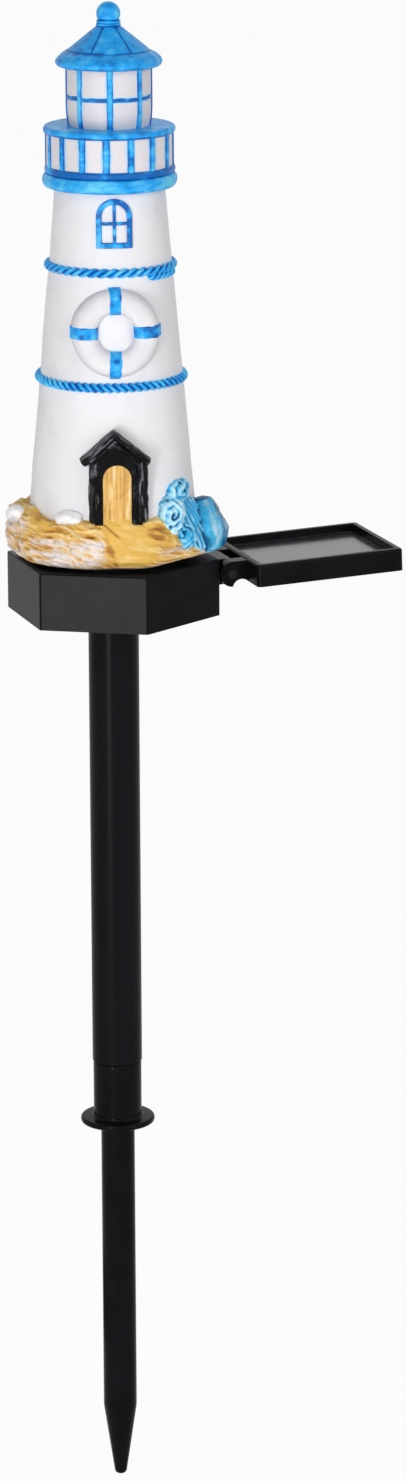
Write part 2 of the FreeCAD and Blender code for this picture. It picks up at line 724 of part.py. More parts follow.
def ring_z():
    """Height of the ring's centre: a little below the middle of its bay."""
    return (LOWER_ROPE_Z + LOWER_ROPE_D / 2 + UPPER_ROPE_Z - UPPER_ROPE_D / 2) / 2 - RING_DROP


def life_ring():
    return on_tower_front(ring_solid(0), ring_z())


def life_ring_bands():
    """Cloth bands wrapped over the ring at its four quarters."""
    half = BAND_WIDTH / 2
    reach = ring_size()
    strip = box(0, reach, -half, half, -reach, reach)
    wraps = ring_solid(BAND_T).cut(ring_solid(PUSH_FIT))
    bands = []
    for n in range(RING_BANDS):
        band = wraps.common(strip.rotated(ORIGIN, UP, 360 * n / RING_BANDS))
        bands.extend(on_tower_front(band, ring_z()).Solids)
    return Part.makeCompound(bands)


def arch(width, bottom, top, inset=0.0):
    """Upright XZ face with a half-round head."""
    half = width / 2 - inset
    spring = top - width / 2
    return face_xz(
        (-half, bottom + inset),
        (half, bottom + inset),
        (half, spring),
        ((0, top - inset), (-half, spring)),
    )


def window_frame():
    """Arched frame and cross bars, raised from the tower wall."""
    bottom = UPPER_ROPE_Z + UPPER_ROPE_D / 2 + WINDOW_SILL_GAP
    top = TOWER_TOP - WINDOW_HEAD_GAP
    front = -TOWER_FOOT_R
    whole = along_y(arch(WINDOW_WIDTH, bottom, top), front, 0)
    panes = along_y(arch(WINDOW_WIDTH, bottom, top, WINDOW_FRAME), front, 0)
    half = WINDOW_BAR / 2
    middle = (bottom + top) / 2
    upright = box(-half, half, front, 0, bottom, top)
    level = box(-WINDOW_WIDTH / 2, WINDOW_WIDTH / 2, front, 0, middle - half, middle + half)
    frame = whole.cut(panes.cut(upright).cut(level))
    frame = frame.common(tower_cone(WINDOW_RELIEF)).cut(tower_cone(GLUE_GAP))
    return on_figure(frame.removeSplitter())


def porch_front(relief):
    """Depth of a porch face: its relief from the tower wall at the foot of the porch."""
    return -tower_radius(ROCK_TOP) - relief


def gable(width, peak, thickness, relief):
    """Pair of sloping roof boards, as a chevron that leans to the left."""
    left = -width / 2 - PORCH_EAVE_SHIFT
    right = width / 2 - PORCH_EAVE_SHIFT
    eave = peak - PORCH_GABLE * width / PORCH_EAVE_WIDTH
    boards = face_xz(
        (left, eave),
        (-PORCH_PEAK_SHIFT, peak),
        (right, eave),
        (right, eave - thickness),
        (-PORCH_PEAK_SHIFT, peak - thickness),
        (left, eave - thickness),
    )
    return along_y(boards, porch_front(relief), 0)


def porch_post(side):
    """Round-fronted post from the rock to the gable."""
    outer = side * (PORCH_EAVE_WIDTH / 2 - PORCH_POST_INSET)
    middle = outer - side * PORCH_POST_WIDTH / 2
    front = porch_front(PORCH_POST_RELIEF)
    radius = PORCH_POST_WIDTH / 2
    top = PORCH_EAVE + PORCH_GABLE * PORCH_POST_INSET / (PORCH_EAVE_WIDTH / 2) - PORCH_ROOF_T / 2
    log = cylinder(PORCH_POST_WIDTH, ROCK_TOP, top, middle, front + radius)
    return log.fuse(box(middle - radius, middle + radius, front + radius, 0, ROCK_TOP, top))


def door_top():
    return PORCH_EAVE - DOOR_HEAD_GAP


def porch():
    """Gabled porch: two roof boards, a second pair below them, posts, and a panel round the door."""
    half = PORCH_EAVE_WIDTH / 2 - PORCH_POST_INSET - PORCH_POST_WIDTH / 2
    panel_face = face_xz(
        (-half, ROCK_TOP),
        (half, ROCK_TOP),
        (half, PORCH_EAVE),
        (-PORCH_PEAK_SHIFT, PORCH_PEAK - PORCH_ROOF_T / 2),
        (-half, PORCH_EAVE),
    )
    panel = along_y(panel_face, porch_front(PORCH_PANEL_RELIEF), 0)
    opening = arch(DOOR_WIDTH + 2 * PART_GAP, ROCK_TOP, door_top() + PART_GAP)
    panel = panel.cut(along_y(opening, porch_front(PORCH_PANEL_RELIEF), 0))
    inner_width = PORCH_EAVE_WIDTH - 2 * PORCH_POST_INSET
    rafters = gable(inner_width, PORCH_PEAK - PORCH_ROOF_T, PORCH_RAFTER_T, PORCH_RAFTER_RELIEF)
    roof = gable(PORCH_EAVE_WIDTH, PORCH_PEAK, PORCH_ROOF_T, PORCH_ROOF_RELIEF)
    whole = panel.fuse([roof, rafters, porch_post(-1), porch_post(1)])
    return on_figure(whole.cut(tower_cone(GLUE_GAP)).removeSplitter())


def door():
    """Arched plank door set in the porch."""
    front = porch_front(DOOR_RELIEF)
    leaf = along_y(arch(DOOR_WIDTH, ROCK_TOP, door_top()), front, 0)
    plank = DOOR_WIDTH / DOOR_PLANKS
    half = DOOR_GROOVE / 2
    for n in range(1, DOOR_PLANKS):
        x = plank * n - DOOR_WIDTH / 2
        leaf = leaf.cut(box(x - half, x + half, front, front + DOOR_GROOVE, ROCK_TOP, door_top()))
    return on_figure(leaf.cut(tower_cone(GLUE_GAP)))


def rock_reach(angle, inset=0.0):
    """Radius of the rock's plan at an angle: an oval with ripples."""
    across = math.cos(angle) / (ROCK_HALF_WIDTH - inset)
    deep = math.sin(angle) / (ROCK_HALF_DEPTH - inset)
    bulge = ROCK_RIPPLE * math.sin(ROCK_BULGES * angle + ROCK_RIPPLE_TURN)
    notch = ROCK_NOTCH * math.sin(ROCK_NOTCHES * angle + inset)
    return 1 / math.hypot(across, deep) + bulge + notch


def rock_ring(inset, z):
    """Closed wavy outline of the rock at one level."""
    points = []
    for n in range(ROCK_POINTS):
        angle = 2 * math.pi * n / ROCK_POINTS
        reach = rock_reach(angle, inset)
        points.append(Vector(reach * math.cos(angle), reach * math.sin(angle), z))
    curve = Part.BSplineCurve()
    curve.interpolate(Points=points, PeriodicFlag=True)
    return Part.Wire(curve.toShape())


def rock_solid():
    """The mound before the tower is let into it, facing -Y."""
    rings = [
        rock_ring(ROCK_FOOT_INSET, BASE_TOP),
        rock_ring(0, BASE_TOP + ROCK_HEIGHT / 4),
        rock_ring(ROCK_TOP_INSET / 4, BASE_TOP + ROCK_HEIGHT * 2 / 3),
        rock_ring(ROCK_TOP_INSET, ROCK_TOP),
    ]
    crest = ROCK_TOP + HUMP_RISE
    hump = Part.makeSphere(HUMP_D / 2, polar(HUMP_ANGLE, tower_radius(ROCK_TOP), crest - HUMP_D / 2))
    return Part.makeLoft(rings, True, False).fuse(hump)


def rock_base():
    """Mound round the tower's foot, falling away to the right, where the wave lies in it.

    The wave parts a crumb from the mound's edge, which is left off.
    """
    span = 2 * ROCK_HALF_WIDTH
    above = box(0, span, -span, span, 0, span).rotated(ORIGIN, Vector(0, 1, 0), ROCK_FALL_ANGLE)
    above.translate(Vector(ROCK_FALL_START, 0, ROCK_TOP))
    mound = rock_solid().cut(above).cut(tower_room()).cut(wave_solid())
    return on_figure(max(mound.Solids, key=lambda solid: solid.Volume))


def polar(degrees, reach, z):
    angle = math.radians(degrees)
    return Vector(reach * math.cos(angle), reach * math.sin(angle), z)


def shore_stones():
    """Two washed stones: one against the tower beside the porch, one on the rock's left shoulder."""
    wall = tower_radius(ROCK_TOP)
    shoulder = rock_reach(math.radians(SHOULDER_STONE_ANGLE)) - SHOULDER_STONE_D / 4
    low = ROCK_TOP - SHOULDER_STONE_DROP
    stones = [
        Part.makeSphere(STONE_D / 2, polar(STONE_ANGLE, wall, ROCK_TOP)),
        Part.makeSphere(SHOULDER_STONE_D / 2, polar(SHOULDER_STONE_ANGLE, shoulder, low)),
    ]
    seated = [on_figure(stone.cut(tower_cone(GLUE_GAP)).cut(rock_solid())) for stone in stones]
    return Part.makeCompound(seated)


def oval(center, depth, width, degrees):
    """Level oval: depth along the direction at degrees, width across it."""
    long, short, turn = (width, depth, degrees + 90) if width > depth else (depth, width, degrees)
    curve = Part.Ellipse(center, long / 2, short / 2)
    return Part.Wire(curve.toShape().rotated(center, UP, turn))


def swell(degrees, height, sections):
    """Water rising at an angle. A section has its shares of the height, of the lean and of the size."""
    edge = rock_reach(math.radians(degrees)) - WAVE_LEAN / 2
    rings = []
    for share, lean, size in sections:
        center = polar(degrees, edge - lean * WAVE_LEAN, BASE_TOP + share * height)
        rings.append(oval(center, WAVE_DEPTH * size, WAVE_WIDTH * size, degrees))
    return Part.makeLoft(rings, True, False)


def spiral():
    """Flat spiral about the Z axis, of quarter circles that grow by the same step."""
    step = CURL_PITCH / 4
    radius = CURL_GROOVE + step
    center = Vector(0, 0, 0)
    edges = []
    for quarter in range(4 * CURL_TURNS):
        out = Vector(math.cos(quarter * math.pi / 2), math.sin(quarter * math.pi / 2), 0)
        on = Vector(-out.y, out.x, 0)
        middle = (out + on) * (radius / math.sqrt(2))
        edges.append(Part.Arc(center + out * radius, center + middle, center + on * radius).toShape())
        center = center - on * step
        radius = radius + step
    return Part.Wire(edges)


def curl_solid():
    """Rolled crest: a thick lens standing on the wall, with a spiral groove in its face."""
    half = CURL_T / 2
    lens = revolved(
        (0, -half), (CURL_D / 2 - half, -half), ((CURL_D / 2, 0), (CURL_D / 2 - half, half)), (0, half)
    )
    path = spiral()
    start = path.Vertexes[0].Point
    section = Part.Wire(Part.makeCircle(CURL_GROOVE, start, Vector(0, 1, 0)))
    groove = path.makePipeShell([section], True, False)
    groove.translate(Vector(0, 0, half))
    return lens.cut(groove)


def wave_solid():
    """Breaking wave: a leaning sheet of water, a lower spill, a rolled curl and a ball of foam."""
    sheet = swell(WAVE_ANGLE, WAVE_HEIGHT, WAVE_SECTIONS)
    spill = swell(SPILL_ANGLE, SPILL_HEIGHT, SPILL_SECTIONS)
    wall = tower_radius(ROCK_TOP)
    curl = curl_solid().rotated(ORIGIN, Vector(1, 0, 0), 90).rotated(ORIGIN, UP, 90 + CURL_ANGLE)
    curl.translate(polar(CURL_ANGLE, wall + CURL_T / 2, ROCK_TOP))
    foam = Part.makeSphere(FOAM_D / 2, polar(FOAM_ANGLE, wall, ROCK_TOP + (CURL_D + FOAM_D / 4) / 2))
    return sheet.fuse([spill, curl, foam]).cut(tower_cone(GLUE_GAP))


def wave():
    return on_figure(wave_solid())


def gallery_deck():
    """Moulded ring on the tower's top, with a spigot in the tower's bore."""
    spigot = TOWER_TOP_R - TOWER_WALL - PART_GAP
    bulge = DECK_HEIGHT * 2 / 3
    lip = DECK_R - DECK_HEIGHT / 12
    return revolved(
        (LIGHT_HOLE_R, TOWER_TOP - DECK_SPIGOT),
        (spigot, TOWER_TOP - DECK_SPIGOT),
        (spigot, TOWER_TOP),
        (DECK_R - bulge / 3, TOWER_TOP),
        ((DECK_R, TOWER_TOP + bulge / 2), (DECK_R - bulge / 4, TOWER_TOP + bulge)),
        ((lip, TOWER_TOP + (bulge + DECK_HEIGHT) / 2), (DECK_R - bulge / 4, DECK_TOP)),
        (LIGHT_HOLE_R, DECK_TOP),
    )


def gallery_drum():
    drum = cylinder(2 * DRUM_R, DECK_TOP, DRUM_TOP)
    return drum.cut(cylinder(2 * (DRUM_R - DRUM_WALL), DECK_TOP, DRUM_TOP))


def gallery_railing():
    """Gallery floor with a rounded rim, and posts that hang from it over the drum."""
    rim = revolved(
        (LIGHT_HOLE_R, DRUM_TOP),
        (DRUM_R + RAIL_POST_RELIEF, DRUM_TOP),
        ((RAIL_R, DRUM_TOP + RAIL_T / 2), (DRUM_R + RAIL_POST_RELIEF, RAIL_TOP)),
        (LIGHT_HOLE_R, RAIL_TOP),
    )
    half = RAIL_POST_WIDTH / 2
    strip = box(-half, half, -DRUM_R - RAIL_POST_RELIEF, 0, DECK_TOP, DRUM_TOP)
    posts = around(strip, RAIL_POSTS, FIGURE_TURN + RAIL_TURN)
    posts = posts.common(cylinder(2 * (DRUM_R + RAIL_POST_RELIEF), DECK_TOP, DRUM_TOP))
    posts = posts.cut(cylinder(2 * (DRUM_R + PUSH_FIT), DECK_TOP, DRUM_TOP))
    return rim.fuse(posts).removeSplitter()


def lantern_barrel(offset):
    """The lantern's outside as a solid, swollen by offset: a foot that widens to a straight wall."""
    foot = LANTERN_FOOT_R + offset
    wall = LANTERN_R + offset
    knee = RAIL_TOP + LANTERN_HEIGHT / 3
    bend = ((foot + 3 * wall) / 4, RAIL_TOP + LANTERN_HEIGHT / 6)
    return revolved(
        (0, RAIL_TOP),
        (foot, RAIL_TOP),
        (bend, (wall, knee)),
        (wall, LANTERN_TOP),
        (0, LANTERN_TOP),
    )


def lantern_glass():
    return lantern_barrel(0).cut(lantern_barrel(-LANTERN_WALL))


def lantern_frame():
    """Cage of upright bars and a middle ring over the lantern's glass."""
    half = LANTERN_BAR_WIDTH / 2
    strip = box(-half, half, -2 * LANTERN_R, 0, RAIL_TOP, LANTERN_TOP)
    middle = (RAIL_TOP + LANTERN_TOP - LANTERN_RING_HEIGHT) / 2
    ring = cylinder(4 * LANTERN_R, middle, middle + LANTERN_RING_HEIGHT)
    cage = around(strip, LANTERN_BARS, FIGURE_TURN + LANTERN_TURN).fuse(ring)
    cage = cage.common(lantern_barrel(LANTERN_BAR_RELIEF))
    return cage.cut(lantern_barrel(PUSH_FIT)).removeSplitter()


def roof():
    """Round roof with a rolled eave, a ring groove, and seams up its cone."""
    groove_z = LANTERN_TOP + ROOF_EAVE_HEIGHT
    soffit = LANTERN_R - LANTERN_WALL
    peg = FINIAL_PEG_D / 2 + PUSH_FIT
    peg_foot = ROOF_TOP - FINIAL_PEG_LENGTH
    cone = revolved(
        (0, LANTERN_TOP + ROOF_EAVE_HEIGHT / 2),
        (soffit, LANTERN_TOP),
        (ROOF_EAVE_R - ROOF_ROLL_R, LANTERN_TOP),
        (
            (ROOF_EAVE_R, LANTERN_TOP + ROOF_ROLL_R),
            (ROOF_EAVE_R - ROOF_ROLL_R / 2, LANTERN_TOP + 2 * ROOF_ROLL_R),
        ),
        (ROOF_GROOVE_R + ROOF_GROOVE, groove_z - ROOF_GROOVE),
        (ROOF_GROOVE_R - ROOF_GROOVE, groove_z),
        (ROOF_GROOVE_R - ROOF_GROOVE, groove_z + ROOF_GROOVE),
        (FINIAL_COLLAR_R, ROOF_TOP),
        (peg, ROOF_TOP),
        (peg, peg_foot),
        (0, peg_foot),
    )
    low = Vector(0, -ROOF_GROOVE_R, groove_z)
    high = Vector(0, -FINIAL_COLLAR_R, ROOF_TOP)
    seam = Part.makeCylinder(ROOF_GROOVE, (high - low).Length, low, high - low)
    first = FIGURE_TURN + 180 / ROOF_SEAMS
    return cone.cut(around(seam, ROOF_SEAMS, first)).removeSplitter()


def finial():
    """Ball on a two-bead collar, with a peg in the roof."""
    bead = FINIAL_COLLAR_HEIGHT / 2
    collar = FINIAL_COLLAR_R
    waist = collar - bead / 3
    ball_z = ROOF_TOP + FINIAL_COLLAR_HEIGHT + math.sqrt(FINIAL_BALL_R**2 - (waist - bead / 3) ** 2)
    peg = FINIAL_PEG_D / 2
    foot = ROOF_TOP - FINIAL_PEG_LENGTH + PART_GAP
    return revolved(
        (0, foot),
        (peg, foot),
        (peg, ROOF_TOP),
        (waist, ROOF_TOP),
        ((collar, ROOF_TOP + bead / 2), (waist, ROOF_TOP + bead)),
        ((collar, ROOF_TOP + bead * 3 / 2), (waist - bead / 3, ROOF_TOP + 2 * bead)),
        ((FINIAL_BALL_R, ball_z), (0, ball_z + FINIAL_BALL_R)),
    )


os.makedirs("parts", exist_ok=True)

save("ground_stake", ground_stake())
save("pole_tube", pole_tube())

save("base_housing", base_housing())
save("base_cover", base_cover())
save("cover_gasket", cover_gasket())
save("cover_screws", cover_screws())
save("battery_holder", battery_holder())
save("battery", battery())
save("positive_contact", positive_contact())
save("negative_contact", negative_contact())
save("circuit_board", circuit_board())
save("driver_chip", driver_chip())
save("inductor", inductor())
save("led", led())
save("led_grommet", led_grommet())
save("switch_body", switch_body())
save("switch_button", switch_button())

save("hinge_pin", hinge_pin())
save("panel_tray", panel_tray())
save("solar_cell", solar_cell())
save("panel_sheet", panel_sheet())

save("tower_shell", tower_shell())
save("rock_base", rock_base())
save("shore_stones", shore_stones())
save("wave", wave())
save("porch", porch())
save("door", door())
save("lower_rope", on_figure(rope(LOWER_ROPE_Z, LOWER_ROPE_D)))
save("life_ring", life_ring())
save("life_ring_bands", life_ring_bands())
save("upper_rope", on_figure(upper_rope()))
save("window_frame", window_frame())
save("gallery_deck", gallery_deck())
save("gallery_drum", gallery_drum())
save("gallery_railing", gallery_railing())
save("lantern_glass", lantern_glass())
save("lantern_frame", lantern_frame())
save("roof", roof())
save("finial", finial())
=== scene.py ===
"""A solar path light, dressed: a hand-painted lighthouse figure on a black lamp base, with a
tilting solar panel, a pole tube and a ground stake. Shapes are worked out in millimetres and put
into their meshes in metres. The figure is shaped facing -Y and then turned to where it stands.
"""

import math

import bmesh
import bpy
import numpy as np
from mathutils import Matrix, Vector


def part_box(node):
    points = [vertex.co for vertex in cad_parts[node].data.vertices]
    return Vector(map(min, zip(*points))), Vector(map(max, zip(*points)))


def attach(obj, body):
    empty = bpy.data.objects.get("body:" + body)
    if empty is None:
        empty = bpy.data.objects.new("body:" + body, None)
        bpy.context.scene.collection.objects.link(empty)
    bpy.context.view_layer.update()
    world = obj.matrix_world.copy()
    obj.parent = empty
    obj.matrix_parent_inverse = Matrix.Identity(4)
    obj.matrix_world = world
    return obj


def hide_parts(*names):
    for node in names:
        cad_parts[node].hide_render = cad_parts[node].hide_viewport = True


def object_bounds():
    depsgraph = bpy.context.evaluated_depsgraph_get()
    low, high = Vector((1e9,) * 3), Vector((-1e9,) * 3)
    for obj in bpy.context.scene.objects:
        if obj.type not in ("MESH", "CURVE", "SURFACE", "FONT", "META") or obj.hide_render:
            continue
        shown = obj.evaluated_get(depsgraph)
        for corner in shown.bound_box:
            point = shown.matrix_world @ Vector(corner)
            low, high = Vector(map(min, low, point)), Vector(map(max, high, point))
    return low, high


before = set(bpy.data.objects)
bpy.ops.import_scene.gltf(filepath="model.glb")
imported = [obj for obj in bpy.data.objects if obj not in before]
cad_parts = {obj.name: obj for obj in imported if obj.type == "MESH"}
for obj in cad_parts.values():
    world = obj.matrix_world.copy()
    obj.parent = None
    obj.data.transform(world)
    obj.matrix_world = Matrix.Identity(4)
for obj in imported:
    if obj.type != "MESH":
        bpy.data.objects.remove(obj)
cad_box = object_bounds()


# Ground stake: one black ABS moulding, made in a two-part mould. A pointed shaft, a round flange
# to tread on, and a collar that the pole stands on. Its plug is hidden in the tube.
STAKE_SHAFT_R = 5.5
STAKE_SHAFT_LENGTH = 100.0
STAKE_TIP_R = 1.9
STAKE_EDGE = 0.95
FLANGE_T = 2.0
COLLAR_R = 7.85
PLUG_SET_BACK = 1.7
SCOOP_Z = -60.0
SCOOP_LENGTH = 14.0
SCOOP_WIDTH = 2.6
SCOOP_DEPTH = 0.9
SCOOP_ANGLE = math.radians(-146)


def span(node):
    """Lowest and highest corners of a CAD node, in millimetres."""
    low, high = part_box(node)
    return np.array(low) * 1000, np.array(high) * 1000


def eased(corners, radius):
    """Outline with its corners rounded: each corner gives way to a parabola that leaves and joins
    its two sides at the radius from it, or at 45% of a shorter side."""
    corners = np.array(corners, float)
    sides = np.diff(corners, axis=0)
    cut = sides * np.minimum(0.45, radius / np.linalg.norm(sides, axis=1, keepdims=True))
    middle = corners[1:-1, None]
    before = middle - cut[:-1, None]
    after = middle + cut[1:, None]
    t = np.linspace(0, 1, 7)[:, None]
    curve = (1 - t) ** 2 * before + 2 * t * (1 - t) * middle + t**2 * after
    return np.vstack([corners[:1], curve.reshape(-1, 2), corners[-1:]])


def circle(count):
    """A count of angles, spaced evenly round a full turn."""
    return np.linspace(0, 2 * np.pi, count, endpoint=False)


def at(x, y, z):
    """Points from their coordinates, each spread over the grid that they make together."""
    return np.stack(np.broadcast_arrays(x, y, z), axis=-1)


def polar(r, angle, z):
    """Points at a radius from the axis, an angle a round it and a height: (r cos a, r sin a, z)."""
    return at(r * np.cos(angle), r * np.sin(angle), z)


def lathe(outline, count):
    """Surface of revolution: an outline of points (r, z), turned round the axis. Rows go round the
    axis, columns follow the outline."""
    r, z = np.asarray(outline).T
    return polar(r, circle(count)[:, None], z)


def put(name, data):
    """New object in the scene."""
    made = bpy.data.objects.new(name, data)
    bpy.context.scene.collection.objects.link(made)
    return made


def piece(name, body, material, slot, node, patches, sharp=math.radians(40)):
    """Object from grids of points. A patch is (points, do rows close, do columns close, marks).

    Four neighbours in a grid make a face. Points that meet are merged, and the faces are turned
    outwards. Marks are values kept on the points by name: the first is 1 in a crevice and -1 on a
    ridge, and it also carries painted shade and painted highlights where a piece puts them; the
    second is how much a pale brush has left there, and on the wave's tongue a painted highlight
    too; and veined is how clear fine cracks are.
    """
    points, faces, marks = [], [], {"crevice_and_shade": [], "chalk_and_highlight": [], "veined": []}
    for grid, rows_close, columns_close, marked in patches:
        index = np.arange(grid[..., 0].size).reshape(grid.shape[:2]) + sum(map(len, points))
        index = np.vstack([index, index[:1]]) if rows_close else index
        index = np.hstack([index, index[:, :1]]) if columns_close else index
        corners = index[:-1, :-1], index[:-1, 1:], index[1:, 1:], index[1:, :-1]
        faces.append(np.stack(corners, axis=-1).reshape(-1, 4))
        points.append(grid.reshape(-1, 3) / 1000)
        for mark, values in marks.items():
            values.append(np.broadcast_to(marked.get(mark, 0.0), grid.shape[:2]).ravel())
    mesh = bpy.data.meshes.new(name)
    mesh.from_pydata(np.vstack(points).tolist(), [], np.vstack(faces).tolist())
    for mark, values in marks.items():
        layer = mesh.attributes.new(mark, "FLOAT", "POINT")
        layer.data.foreach_set("value", np.concatenate(values).astype(np.float32))
    shell = bmesh.new()
    shell.from_mesh(mesh)
    bmesh.ops.remove_doubles(shell, verts=shell.verts, dist=1e-6)
    bmesh.ops.recalc_face_normals(shell, faces=shell.faces)
    shell.to_mesh(mesh)
    shell.free()
    mesh.shade_smooth()
    mesh.set_sharp_from_angle(angle=sharp)
    mesh.materials.append(material)
    made = put(name, mesh)
    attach(made, body)
    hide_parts(node)


def linear(code):
    """sRGB hex colour as linear RGBA: each channel goes back through the sRGB curve."""
    channel = np.array([int(code[k : k + 2], 16) for k in (1, 3, 5)]) / 255
    rgb = np.where(channel <= 0.04045, channel / 12.92, ((channel + 0.055) / 1.055) ** 2.4)
    return (*rgb.tolist(), 1.0)


def fill(node, inputs):
    """Sets a node's inputs: a socket is linked to, and anything else is the input's own value."""
    for name, value in inputs.items():
        if isinstance(value, bpy.types.NodeSocket):
            node.id_data.links.new(value, node.inputs[name])
        else:
            node.inputs[name].default_value = value


def add(tree, kind, inputs, output=0, **settings):
    """Adds a shader node to a tree with its settings, fills its inputs, and returns an output."""
    node = tree.nodes.new("ShaderNode" + kind)
    for name, value in settings.items():
        setattr(node, name, value)
    fill(node, inputs)
    return node.outputs[output]


def begin(name):
    """New material, its tree, its shader, and the Object coordinates that its patterns read."""
    made = bpy.data.materials.new(name)
    made.use_nodes = True
    tree = made.node_tree
    return made, tree, tree.nodes["Principled BSDF"], add(tree, "TexCoord", {}, "Object")


def grained(name, main, second, grain, roughness, bump, sockets, stretch=(1, 1, 1)):
    """Material with a fine grain in its relief and gloss, and two tones in patches thirty grains
    wide. The grain is in millimetres, and stretch draws it out along an axis."""
    made, tree, shader, place = begin(name)
    place = add(tree, "Mapping", {"Vector": place, "Scale": stretch})
    pits = add(tree, "TexNoise", {"Vector": place, "Scale": 1000 / grain, "Detail": 2.0})
    patch = add(tree, "TexNoise", {"Vector": place, "Scale": 1000 / (30 * grain), "Detail": 5.0})
    share = add(tree, "MapRange", {"Value": patch, "From Min": 0.35, "From Max": 0.7})
    tint = add(tree, "Mix", {0: share, 6: linear(main), 7: linear(second)}, 2, data_type="RGBA")
    dull, shiny = roughness + 0.07, roughness - 0.07
    gloss = add(tree, "MapRange", {"Value": pits, "To Min": shiny, "To Max": dull})
    relief = add(tree, "Bump", {"Height": pits, "Strength": bump, "Distance": 3e-5})
    fill(shader, {"Base Color": tint, "Roughness": gloss, "Normal": relief, **sockets})
    return made


stake_low, stake_high = span("ground_stake")
pole_low, pole_high = span("pole_tube")
flange_r = stake_high[0]
plug_r = pole_high[0] - PLUG_SET_BACK
shaft = [(STAKE_SHAFT_R, z) for z in np.linspace(-STAKE_SHAFT_LENGTH, 0, 26)]
stake_outline = [
    (0, stake_low[2]),
    (STAKE_TIP_R, stake_low[2] + STAKE_TIP_R / 3),
    *shaft,
    (flange_r, 0),
    (flange_r, FLANGE_T),
    (COLLAR_R, FLANGE_T),
    (COLLAR_R, pole_low[2]),
    (plug_r, pole_low[2]),
    (plug_r, stake_high[2]),
    (0, stake_high[2]),
]
stake = lathe(eased(stake_outline, STAKE_EDGE), 144)
across = STAKE_SHAFT_R * (np.arctan2(stake[..., 1], stake[..., 0]) - SCOOP_ANGLE) / SCOOP_WIDTH
along = (stake[..., 2] - SCOOP_Z) / SCOOP_LENGTH
scoop = SCOOP_DEPTH * np.exp(-np.abs(across) ** 3 - np.abs(along) ** 3)
stake[..., :2] *= 1 - (scoop / STAKE_SHAFT_R)[..., None]
# Moulded ABS: nearly black, a low sheen, and an eroded grain. A real grain is about 0.1 mm; it is
# drawn at 0.35 mm so that it shows. The specular level of the black plastics is held far under the
# usual 0.5, because the white surround would turn their sides grey.
black_plastic = {"IOR": 1.53, "Specular IOR Level": 0.035}
black_abs = grained("Moulded black ABS", "#0d0e10", "#131417", 0.35, 0.21, 0.15, black_plastic)
piece(
    "ground_stake_moulding", "stake", black_abs, "black_moulding", "ground_stake",
    [(stake, True, False, {})],
)


# Pole tube: a plain round tube of black PVC, extruded and cut to length. Drawing through the die
# leaves faint lines along it. It slips over the stake's plug and the lamp base's spigot.
def dress(material, *nodes):
    """Gives CAD nodes a material."""
    for node in nodes:
        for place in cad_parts[node].material_slots:
            place.material = material


# Extruded PVC: nearly black, with a soft sheen that the die lines draw out along the tube.
black_pvc = grained(
    "Extruded black PVC", "#0f1012", "#141518", 0.5, 0.28, 0.15, black_plastic, (1, 1, 0.01)
)
dress(black_pvc, "pole_tube")


# Lamp base: a hexagonal housing and its cover, black ABS mouldings. The cover has the spigot that
# goes into the pole, and three steel screws draw it up against a rubber gasket.
dress(black_abs, "base_housing", "base_cover")
# Moulded rubber: matt, a shade greyer than the plastic, with a dusty bloom.
black_rubber = grained("Moulded black rubber", "#1a1a1a", "#242424", 0.4, 0.75, 0.3, {"IOR": 1.52})
dress(black_rubber, "cover_gasket", "led_grommet")
# Zinc-plated steel: bright, with fine rolling lines and a slightly cloudy plating.
plated_steel = grained(
    "Zinc plated steel", "#c3c4c6", "#a9abad", 0.3, 0.32, 0.2, {"Metallic": 1.0}, (1, 1, 0.1)
)
dress(plated_steel, "cover_screws", "positive_contact", "negative_contact")


# Lamp works in the base: a rechargeable cell in a moulded holder, a small driver board with its
# chip and coil, an LED in a rubber grommet under the figure, and a push switch through the cover.
dress(black_abs, "battery_holder", "switch_body")
works = (
    # Shrink sleeve: a green film, smooth and a little shiny.
    ("battery", "PVC shrink sleeve", "#2f7d4d", "#276a41", 0.3, 0.35, 0.1,
     {"IOR": 1.53, "Coat Weight": 0.2}),
    # Glass epoxy: a deep green board under a clear lacquer, faintly mottled.
    ("circuit_board", "Glass epoxy board", "#1f5b37", "#2a6d43", 0.4, 0.4, 0.2,
     {"IOR": 1.55, "Coat Weight": 0.3}),
    # Moulded epoxy: dull black with a fine, even pitting.
    ("driver_chip", "Moulded epoxy", "#191919", "#222222", 0.2, 0.6, 0.3, {"IOR": 1.55}),
    # Pressed ferrite: dark grey and matt, like fine cast iron.
    ("inductor", "Pressed ferrite", "#2c2b2b", "#3a3938", 0.25, 0.7, 0.4, {}),
    # Cast clear epoxy: a warm, nearly clear lens.
    ("led", "Cast clear epoxy", "#f4efdf", "#fbf7ec", 0.5, 0.12, 0.05,
     {"IOR": 1.55, "Transmission Weight": 0.85}),
    # Moulded nylon: dark grey and dull, paler than the cover, so that the button shows.
    ("switch_button", "Moulded grey nylon", "#3a3b3e", "#45464a", 0.3, 0.55, 0.3, {"IOR": 1.53}),
)
for node, *finish in works:
    dress(grained(*finish), node)


# Tower: a hollow cone cast in white resin, painted matt white. It seats on the rock, and a narrower
# neck goes down through the rock to the lamp base, so that the LED shines up inside it.
FIGURE_TURN = math.radians(-14)
TOWER_TOP_R = 17.2
TOWER_NECK_R = 21.0
TOWER_SEAT_HEIGHT = 4.2
TOWER_WALL = 3.0
TOWER_WAVER = 0.12
tower_low, tower_high = span("tower_shell")
base_top = tower_low[2]
tower_top = tower_high[2]
tower_seat = base_top + TOWER_SEAT_HEIGHT
seat_r = tower_high[0]


def tower_radius(z):
    """Radius of the tower's cone at a height."""
    return seat_r + (TOWER_TOP_R - seat_r) * (z - tower_seat) / (tower_top - tower_seat)


def cast(name, paint, slot, node, patches, **settings):
    """Piece of the figure: it rides the head, and its patches are turned from facing -Y to where
    the figure stands."""
    c, s = math.cos(FIGURE_TURN), math.sin(FIGURE_TURN)
    turn = np.array([[c, s, 0], [-s, c, 0], [0, 0, 1]])
    turned = [(points @ turn, *rest) for points, *rest in patches]
    piece(name, "head", paint, slot, node, turned, **settings)


